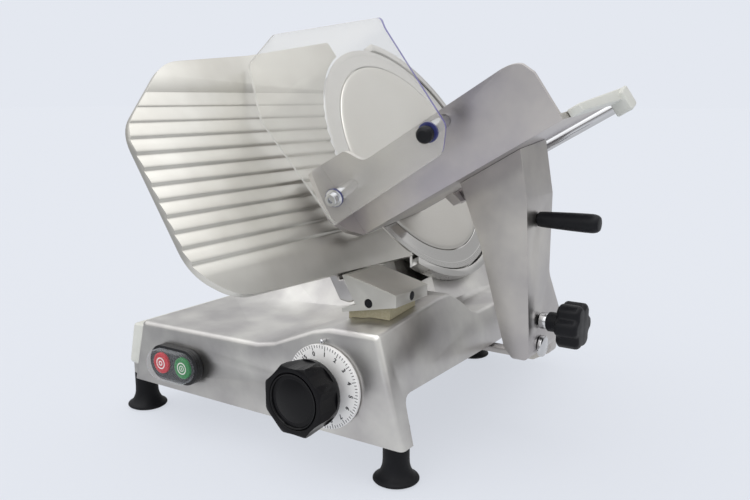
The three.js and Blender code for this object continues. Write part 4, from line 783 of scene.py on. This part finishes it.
NUMBER_COUNT = 16
TICKS_PER_NUMBER = 5
FIRST_NUMBER_TURN = math.radians(17.5)
NUMBER_RADIUS = 33.2
NUMBER_SIZE = 6.2
PRINT_HEIGHT = 0.08
PRINT_BOLDNESS = 0.22
TICK_END = 41.7
LONG_TICK_START = 36.6
SHORT_TICK_START = 38.8
TICK_WIDTH = 0.65
print_ink = Finish("print_ink", tone("26272b"), rough=0.5)
print_ink.set("Base Color", print_ink.blend(print_ink.noise(500.0), tone("1c1d21"), tone("34353a")))


def printed(piece, body, finish):
    """A small piece of its own finish that rides on a body and stands for no solid."""
    piece.data.materials.clear()
    piece.data.materials.append(finish.material)
    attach(piece, body)


def joined(name, pieces):
    """Several small pieces made one mesh."""
    clear_selection()
    for piece in pieces:
        piece.select_set(True)
    bpy.context.view_layer.objects.active = pieces[0]
    bpy.ops.object.join()
    pieces[0].name = name
    return pieces[0]


def lettered(text, size, place):
    """A printed sign: text made a thin mesh at its place."""
    clear_selection()
    bpy.ops.object.text_add()
    sign = bpy.context.object
    sign.data.body = text
    sign.data.size = size * MM
    sign.data.align_x = "CENTER"
    sign.data.align_y = "CENTER"
    sign.data.extrude = PRINT_HEIGHT / 2 * MM
    sign.data.offset = PRINT_BOLDNESS * MM
    sign.data.resolution_u = 3
    bpy.ops.object.convert(target="MESH")
    set_down(sign, place)
    return sign


ring_face = dial_place @ standing(0, 0, (RING_DEPTH + PRINT_HEIGHT / 4) * MM)
numbers = []
for number in range(NUMBER_COUNT):
    turn = FIRST_NUMBER_TURN - number * 2 * math.pi / NUMBER_COUNT
    spot = ring_face @ Matrix.Rotation(turn, 4, "Z") @ standing(0, NUMBER_RADIUS * MM, 0)
    numbers.append(lettered(str(number), NUMBER_SIZE, spot))
printed(joined("scale_numbers", numbers), "dial", print_ink)


def tick_mark(start):
    """A scale mark above the ring's centre, from its start out to the rim."""
    size = (TICK_WIDTH * MM, (TICK_END - start) * MM, PRINT_HEIGHT * MM)
    return block(size, standing(0, (TICK_END + start) / 2 * MM, 0))


long_tick = tick_mark(LONG_TICK_START)
short_tick = tick_mark(SHORT_TICK_START)
ticks = []
for tick in range(NUMBER_COUNT * TICKS_PER_NUMBER):
    pattern = long_tick if tick % TICKS_PER_NUMBER == 0 else short_tick
    turn = FIRST_NUMBER_TURN - tick * 2 * math.pi / (NUMBER_COUNT * TICKS_PER_NUMBER)
    ticks.append(copied(pattern, "tick", ring_face @ Matrix.Rotation(turn, 4, "Z")))
for pattern in (long_tick, short_tick):
    bpy.data.objects.remove(pattern)
printed(joined("scale_ticks", ticks), "dial", print_ink)

_, knob_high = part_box("dial_knob")
KNOB_FACETS = 8
FACET_DEPTH = 31.9
FACET_CURVE = 75.0
FACET_START = 20.5
FACET_CUT_LENGTH = 100.0

knob_black = Finish("knob_black", tone("08080b"), rough=0.3, Specular_IOR_Level=0.16)
knob_cloud = knob_black.noise(70.0)
knob_black.set("Base Color", knob_black.blend(knob_cloud, tone("060608"), tone("0c0c10")))
knob_black.set("Roughness", knob_black.range(knob_cloud, 0.25, 0.36))
knob_black.bump(knob_black.noise(1500.0, detail=2.0), strength=0.08, depth=0.04 * MM)
knob_place = facing_front(DIAL_X, knob_high.y, DIAL_Z)
KNOB_PROFILE = [
    (20.0, 0.0), (20.0, 9.0), (21.5, 12.0), (29.0, 13.2), (31.6, 13.9), (32.6, 15.2), (33.0, 17.0),
    (34.2, 24.0), (35.6, 34.0), (36.4, 41.0), (36.2, 43.2), (35.0, 44.9), (32.6, 45.8), (30.0, 46.0),
    (28.2, 45.9), (27.6, 45.3), (27.2, 44.0),
]
knob = turned("faceted_knob", KNOB_PROFILE, standing(0, 0, 0), segments=128)
cutter_spot = standing(
    (FACET_DEPTH + FACET_CURVE) * MM, 0, (FACET_START + FACET_CUT_LENGTH / 2) * MM
)
for facet in range(KNOB_FACETS):
    about = Matrix.Rotation(2 * math.pi * facet / KNOB_FACETS, 4, "Z")
    carved(knob, drum(FACET_CURVE, FACET_CUT_LENGTH, about @ cutter_spot), "DIFFERENCE")
set_down(knob, knob_place)
rounded_edges(knob, radius=0.5 * MM, steps=2, sharp=20.0)
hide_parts("dial_knob")
fitted(knob, "dial_knob", knob_black)

cap_gloss = Finish("cap_gloss", tone("060609"), rough=0.1, Specular_IOR_Level=0.2)
cap_gloss.set("Base Color", cap_gloss.blend(cap_gloss.noise(40.0), tone("040406"), tone("08080c")))
cap_gloss.set("Roughness", cap_gloss.range(cap_gloss.noise(50.0), 0.08, 0.16))
CAP_PROFILE = [
    (26.9, 43.2), (26.9, 45.2), (26.6, 45.8), (26.1, 46.0), (25.6, 45.9), (25.2, 45.5), (25.0, 44.9),
    (24.6, 43.6), (24.0, 43.5), (20.0, 44.2), (14.0, 45.1), (8.0, 45.7), (3.0, 45.95),
]
cap = turned("knob_cap", CAP_PROFILE, knob_place, segments=96, angle=40.0)
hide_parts("dial_knob_cap")
fitted(cap, "dial_knob_cap", cap_gloss)
softened("index_pin", mirror_steel, radius=0.3 * MM)

# Switch: a black ribbed bezel on the base's front with a red and a green push button, under
# a clear silicone cover that keeps water out.
bezel_low, bezel_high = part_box("switch_bezel")
SWITCH_X = (bezel_low.x + bezel_high.x) / 2
SWITCH_Z = (bezel_low.z + bezel_high.z) / 2
BEZEL_DEPTH = (bezel_high.y - bezel_low.y) / MM
switch_place = facing_front(SWITCH_X, bezel_high.y, SWITCH_Z)


def stadium(width, height, steps=24):
    """The outline of a slot with round ends."""
    half, straight = height / 2, (width - height) / 2
    points = []
    for side, start in ((1, -90), (-1, 90)):
        for step in range(steps + 1):
            angle = math.radians(start + 180 * step / steps)
            points.append((side * straight + half * math.cos(angle), half * math.sin(angle)))
    return points


def stepped(name, outline, steps, place, angle=32.0):
    """A moulding: an outline drawn out step by step, each step (height, share of its width)."""
    clear_selection()
    bpy.ops.mesh.primitive_circle_add(vertices=len(outline), radius=1.0, fill_type="NGON")
    piece = bpy.context.object
    piece.name = name
    first_height, first_share = steps[0]
    for vertex, (x, y) in zip(piece.data.vertices, outline):
        vertex.co = (x * first_share * MM, y * first_share * MM, first_height * MM)
    bpy.ops.object.mode_set(mode="EDIT")
    bpy.ops.mesh.select_all(action="SELECT")
    for (low, before), (high, share) in zip(steps, steps[1:]):
        bpy.ops.mesh.extrude_region_move(
            TRANSFORM_OT_translate={"value": (0, 0, (high - low) * MM)}
        )
        grow = share / before
        bpy.ops.transform.resize(value=(grow, grow, 1), center_override=(0, 0, high * MM))
    bpy.ops.object.mode_set(mode="OBJECT")
    smoothed(piece, angle)
    set_down(piece, place)
    return piece


BEZEL_WIDTH = (bezel_high.x - bezel_low.x) / MM
BEZEL_HEIGHT = (bezel_high.z - bezel_low.z) / MM
BEZEL_STEPS = [
    (0.0, 1.0), (3.0, 1.0), (3.6, 0.985), (4.2, 1.0), (6.2, 1.0), (6.8, 0.985), (7.4, 1.0),
    (BEZEL_DEPTH - 0.8, 1.0), (BEZEL_DEPTH - 0.2, 0.985), (BEZEL_DEPTH, 0.96), (BEZEL_DEPTH, 0.9),
]
BUTTON_HOLE = 12.3
HOLE_LENGTH = 60.0
bezel = stepped("ribbed_bezel", stadium(BEZEL_WIDTH, BEZEL_HEIGHT), BEZEL_STEPS, switch_place)
for node in ("stop_button", "start_button"):
    hole_place = facing_front(middle(node).x, bezel_high.y, SWITCH_Z)
    carved(bezel, drum(BUTTON_HOLE, HOLE_LENGTH, hole_place, steps=64), "DIFFERENCE")
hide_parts("switch_bezel")
bezel_gloss = Finish("bezel_gloss", tone("0b0c10"), rough=0.2, Specular_IOR_Level=0.4)
bezel_gloss.set("Roughness", bezel_gloss.range(bezel_gloss.noise(110.0), 0.14, 0.26))
fitted(bezel, "switch_bezel", bezel_gloss)

button_signs = Finish("button_signs", tone("e9e4e2"), rough=0.45)
button_signs.set("Roughness", button_signs.range(button_signs.noise(200.0), 0.4, 0.5))
BUTTON_FACE = [
    (11.4, 0.0), (12.0, 0.8), (12.0, 19.6), (11.7, 20.6), (11.0, 21.1), (9.6, 21.2), (9.2, 20.7),
    (8.6, 20.65), (8.2, 21.15), (3.0, 21.25),
]
FACE_HEIGHT = 21.3
SIGN_HEIGHT = 0.12
START_BAR = Vector((1.0, 2.4, SIGN_HEIGHT)) * MM


def flat_ring(name, inner, outer, height, place):
    """A ring of square section, lying on its place."""
    profile = [(inner, 0.0), (inner, height), (outer, height), (outer, 0.0), (inner, 0.0)]
    return turned(name, profile, place, segments=48, open_bore=True)


# Each button: its solid, its colour and a darker one, and its sign's rings (radius, width).
for node, code, dark, rings in (
    ("stop_button", "c9303c", "b82733", [(1.6, 1.3), (5.3, 1.3)]),
    ("start_button", "2f8a4e", "26763f", [(5.6, 1.1), (2.6, 0.8)]),
):
    low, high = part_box(node)
    gloss_colour = Finish(node + "_colour", tone(code), rough=0.35)
    shade = gloss_colour.noise(120.0)
    gloss_colour.set("Base Color", gloss_colour.blend(shade, tone(dark), tone(code)))
    depth = (high.y - low.y) / MM
    place = facing_front((low.x + high.x) / 2, high.y, SWITCH_Z)
    lift = depth - FACE_HEIGHT
    profile = [(radius, height + lift if height else 0.0) for radius, height in BUTTON_FACE]
    button = turned(node + "_cap", profile, place, segments=64)
    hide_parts(node)
    fitted(button, node, gloss_colour)
    face = place @ standing(0, 0, (depth - SIGN_HEIGHT) * MM)
    signs = []
    for radius, width in rings:
        signs.append(flat_ring(node + "_sign", radius, radius + width, SIGN_HEIGHT, face))
    if node == "start_button":
        signs.append(block(START_BAR, face @ standing(0, 0, SIGN_HEIGHT / 2 * MM)))
    printed(joined(node + "_sign", signs), body_of[node], button_signs)

# Painted reflection: the cover's pale colour grows more opaque where it is seen at a slant, toward its
# rim.
clear_silicone = Finish("clear_silicone", tone("e6eaf0"), rough=0.12, Alpha=0.22)
painted_rim_reflection = clear_silicone.add("LayerWeight", {}, {"Blend": 0.35}, output="Facing")
clear_silicone.set("Alpha", clear_silicone.range(painted_rim_reflection, 0.05, 0.6, 0.3, 1.0))
clear_silicone.set("Roughness", clear_silicone.range(clear_silicone.noise(90.0), 0.08, 0.18))
cover_low, cover_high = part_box("switch_cover")
COVER_WIDTH = (cover_high.x - cover_low.x) / MM
COVER_HEIGHT = (cover_high.z - cover_low.z) / MM
COVER_STEPS = [
    (0.0, 1.0), (6.8, 1.0), (8.2, 0.985), (9.4, 0.955), (10.3, 0.915), (10.8, 0.87), (11.0, 0.82),
]
clear_cover = stepped(
    "clear_cover", stadium(COVER_WIDTH, COVER_HEIGHT), COVER_STEPS,
    facing_front(SWITCH_X, cover_high.y, SWITCH_Z), angle=40.0,
)
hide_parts("switch_cover")
fitted(clear_cover, "switch_cover", clear_silicone)

# Carriage arm: a hollow aluminium casting that carries the tray and slides under the base,
# with a black grip, a clamp knob on a steel bush, and the bolt of the pivot below it.
arm_satin = Finish("arm_satin", tone("c2c0bc"), rough=0.34, metal=1.0)
arm_cloud = arm_satin.noise(12.0, detail=4.0)
arm_grit = arm_satin.noise(1100.0, detail=2.0)
arm_patch = arm_satin.range(arm_cloud, 0.0, 1.0, 0.36, 0.64)
arm_satin.set("Base Color", arm_satin.blend(arm_patch, tone("aeabab"), tone("cdcac5")))
arm_satin.set("Roughness", arm_satin.range(arm_cloud + 0.15 * arm_grit, 0.29, 0.41, 0.35, 0.9))
arm_satin.bump(arm_grit, strength=0.22, depth=0.05 * MM)
softened("carriage_arm", arm_satin, radius=3.0 * MM, steps=4, sharp=35.0)
softened("guide_wheel", ground_steel, radius=0.6 * MM, steps=2)
softened("arm_bolt", mirror_steel, radius=0.5 * MM)
softened("lock_bush", mirror_steel, radius=0.5 * MM)

grip_low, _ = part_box("arm_grip")
grip_middle = middle("arm_grip")
GRIP_PROFILE = [
    (4.9, 0.0), (4.9, 8.2), (6.8, 8.4), (7.4, 9.0), (7.9, 14.0), (8.4, 26.0), (9.0, 42.0), (9.3, 56.0),
    (9.3, 62.5), (9.0, 65.0), (8.2, 67.6), (6.8, 69.3), (4.6, 69.8),
]
grip_place = placed(Vector((grip_low.x, grip_middle.y, grip_middle.z)), BACK, HIGH, RIGHT)
grip = turned("arm_grip_moulding", GRIP_PROFILE, grip_place, segments=48)
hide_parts("arm_grip")
fitted(grip, "arm_grip", black_moulding)
softened("lock_knob", black_moulding, radius=1.6 * MM, steps=3, sharp=30.0)

# Food tray: an anodised casting, its wall and floor meeting in a wide fillet, with a cream
# end wall, and a chromed rod that the press swings and slides on.
tray_satin = Finish("tray_satin", tone("bfbdba"), rough=0.33, metal=1.0)
tray_cloud = tray_satin.noise(10.0, detail=5.0)
tray_grit = tray_satin.noise(1000.0, detail=2.0)
tray_patch = tray_satin.range(tray_cloud, 0.0, 1.0, 0.36, 0.64)
tray_satin.set("Base Color", tray_satin.blend(tray_patch, tone("aca8ac"), tone("cdc9c4")))
tray_satin.set("Roughness", tray_satin.range(tray_cloud + 0.15 * tray_grit, 0.27, 0.42, 0.35, 0.9))
tray_satin.bump(tray_grit, strength=0.22, depth=0.05 * MM)


def leaning(angle):
    """The way straight back, turned up by this angle in the plane of the blade."""
    rise = math.sin(angle)
    return Vector((-rise * math.sin(BLADE_TILT), math.cos(angle), rise * math.cos(BLADE_TILT)))


# The tray leans toward the operator. Its wall's lower left corner is a place in the room, and
# the curve that the wall's right end is cut to is in millimetres along the wall and up it.
TRAY_LEAN = math.radians(15)
TRAY_BACK = leaning(TRAY_LEAN)
TRAY_UP = leaning(TRAY_LEAN + math.pi / 2)
TRAY_CORNER = Vector((39.57, -80.46, 227.89)) * MM
wall_place = placed(TRAY_CORNER, OUT, TRAY_UP, -TRAY_BACK)
CORNER_LOW = Vector((241.5, 45.0))
CORNER_PEAK = Vector((241.5, 65.4))
CORNER_HIGH = Vector((213.0, 64.9))
CORNER_STEPS = 14
CORNER_OUTSIDE = [Vector((213.0, 80.0)), Vector((260.0, 80.0)), Vector((260.0, 45.0))]
WALL_CUT_LOW = -6.5
WALL_CUT_HIGH = 1.5
tray = softened("food_tray", tray_satin, radius=0.0)
corner_line = curve(CORNER_LOW, CORNER_PEAK, CORNER_HIGH, CORNER_STEPS) + CORNER_OUTSIDE
wall_corner = drawn("wall_corner", corner_line, WALL_CUT_LOW, WALL_CUT_HIGH, wall_place)
carved(tray, wall_corner, "DIFFERENCE")
rounded_edges(tray, radius=1.6 * MM, steps=3, sharp=32.0)
softened("tray_end", cream_moulding, radius=1.6 * MM, steps=3, sharp=35.0)
softened("press_rod", mirror_steel, radius=0.5 * MM, steps=2)
softened("press_bush", black_moulding, radius=0.6 * MM, steps=2)
softened("food_press", tray_satin, radius=1.2 * MM, steps=3)
softened("press_handle", black_moulding, radius=1.0 * MM, steps=3)

# Hand guard: a bent sheet of clear acrylic, held off the tray's wall by two steel spacers, a socket
# screw and a small black knob. Its pale colour, more opaque where the sheet is seen at a slant, is a
# painted reflection, and its polished edges carry a painted violet glow on one side and a painted pale
# highlight on the others.
# Painted reflection: a pale colour that grows more opaque where the sheet is seen at a slant.
clear_acrylic = Finish("clear_acrylic", tone("e2e0d9"), rough=0.05)
painted_reflection_share = clear_acrylic.add("LayerWeight", {}, {"Blend": 0.3}, output="Facing")
clear_acrylic.set("Alpha", clear_acrylic.range(painted_reflection_share, 0.24, 0.6, 0.25, 1.0))
clear_acrylic.set("Roughness", clear_acrylic.range(clear_acrylic.noise(30.0), 0.03, 0.07))
# Painted light on the polished edges: a violet glow and a pale highlight.
painted_violet_edge_glow = Finish("painted_violet_edge_glow", tone("6d68a8"), rough=0.1)
painted_violet_edge_glow.set("Alpha", painted_violet_edge_glow.range(painted_violet_edge_glow.noise(60.0), 0.75, 0.95))
painted_edge_highlight = Finish("painted_edge_highlight", tone("e9e9e6"), rough=0.15)
painted_edge_highlight.set("Alpha", painted_edge_highlight.range(painted_edge_highlight.noise(60.0), 0.7, 0.9))
guard = softened("hand_guard", clear_acrylic, radius=0.4 * MM, steps=2)
guard.data.materials.append(painted_violet_edge_glow.material)
guard.data.materials.append(painted_edge_highlight.material)
RIM_FACING = 0.6
PAINTED_GLOW_FACING = 0.5
# Edge faces facing out along the blade's axis get the painted violet glow, the rest the painted pale
# highlight.
for face in guard.data.polygons:
    if abs(face.normal.dot(TRAY_BACK)) < RIM_FACING:
        face.material_index = 1 if face.normal.dot(OUT) > PAINTED_GLOW_FACING else 2
softened("guard_spacer_left", mirror_steel, radius=0.4 * MM, steps=2)
softened("guard_spacer_right", mirror_steel, radius=0.4 * MM, steps=2)
softened("guard_screw", mirror_steel, radius=0.4 * MM, steps=2)
TOWARD_FRONT = -TRAY_BACK
guard_knob = softened("guard_knob", black_moulding, radius=0.8 * MM, steps=3)
knob_centre = middle("guard_spacer_right")
KNOB_HEAD_START = 24.0 * MM
KNOB_HEAD_SHARE = 0.86
for vertex in guard_knob.data.vertices:
    offset = vertex.co - knob_centre
    reach = offset.dot(TOWARD_FRONT)
    if reach > KNOB_HEAD_START:
        on_axis = knob_centre + reach * TOWARD_FRONT
        vertex.co = on_axis.lerp(vertex.co, KNOB_HEAD_SHARE)
washer_blue = Finish("washer_blue", tone("34386e"), rough=0.35)
washer_blue.set(
    "Base Color", washer_blue.blend(washer_blue.noise(150.0), tone("2b2e5e"), tone("454a86"))
)
WASHER_START = 21.05 * MM
WASHER_BORE = 6.1
WASHER_THICKNESS = 2.3
# Each washer: the piece that clamps it, the spacer it lies over, and its radius.
for node, spacer, radius in (
    ("guard_screw", "guard_spacer_left", 9.1),
    ("guard_knob", "guard_spacer_right", 9.3),
):
    seat = placed(middle(spacer) + WASHER_START * TOWARD_FRONT, OUT, TRAY_UP, TOWARD_FRONT)
    washer = flat_ring(node + "_washer", WASHER_BORE, radius, WASHER_THICKNESS, seat)
    printed(washer, body_of[node], washer_blue)
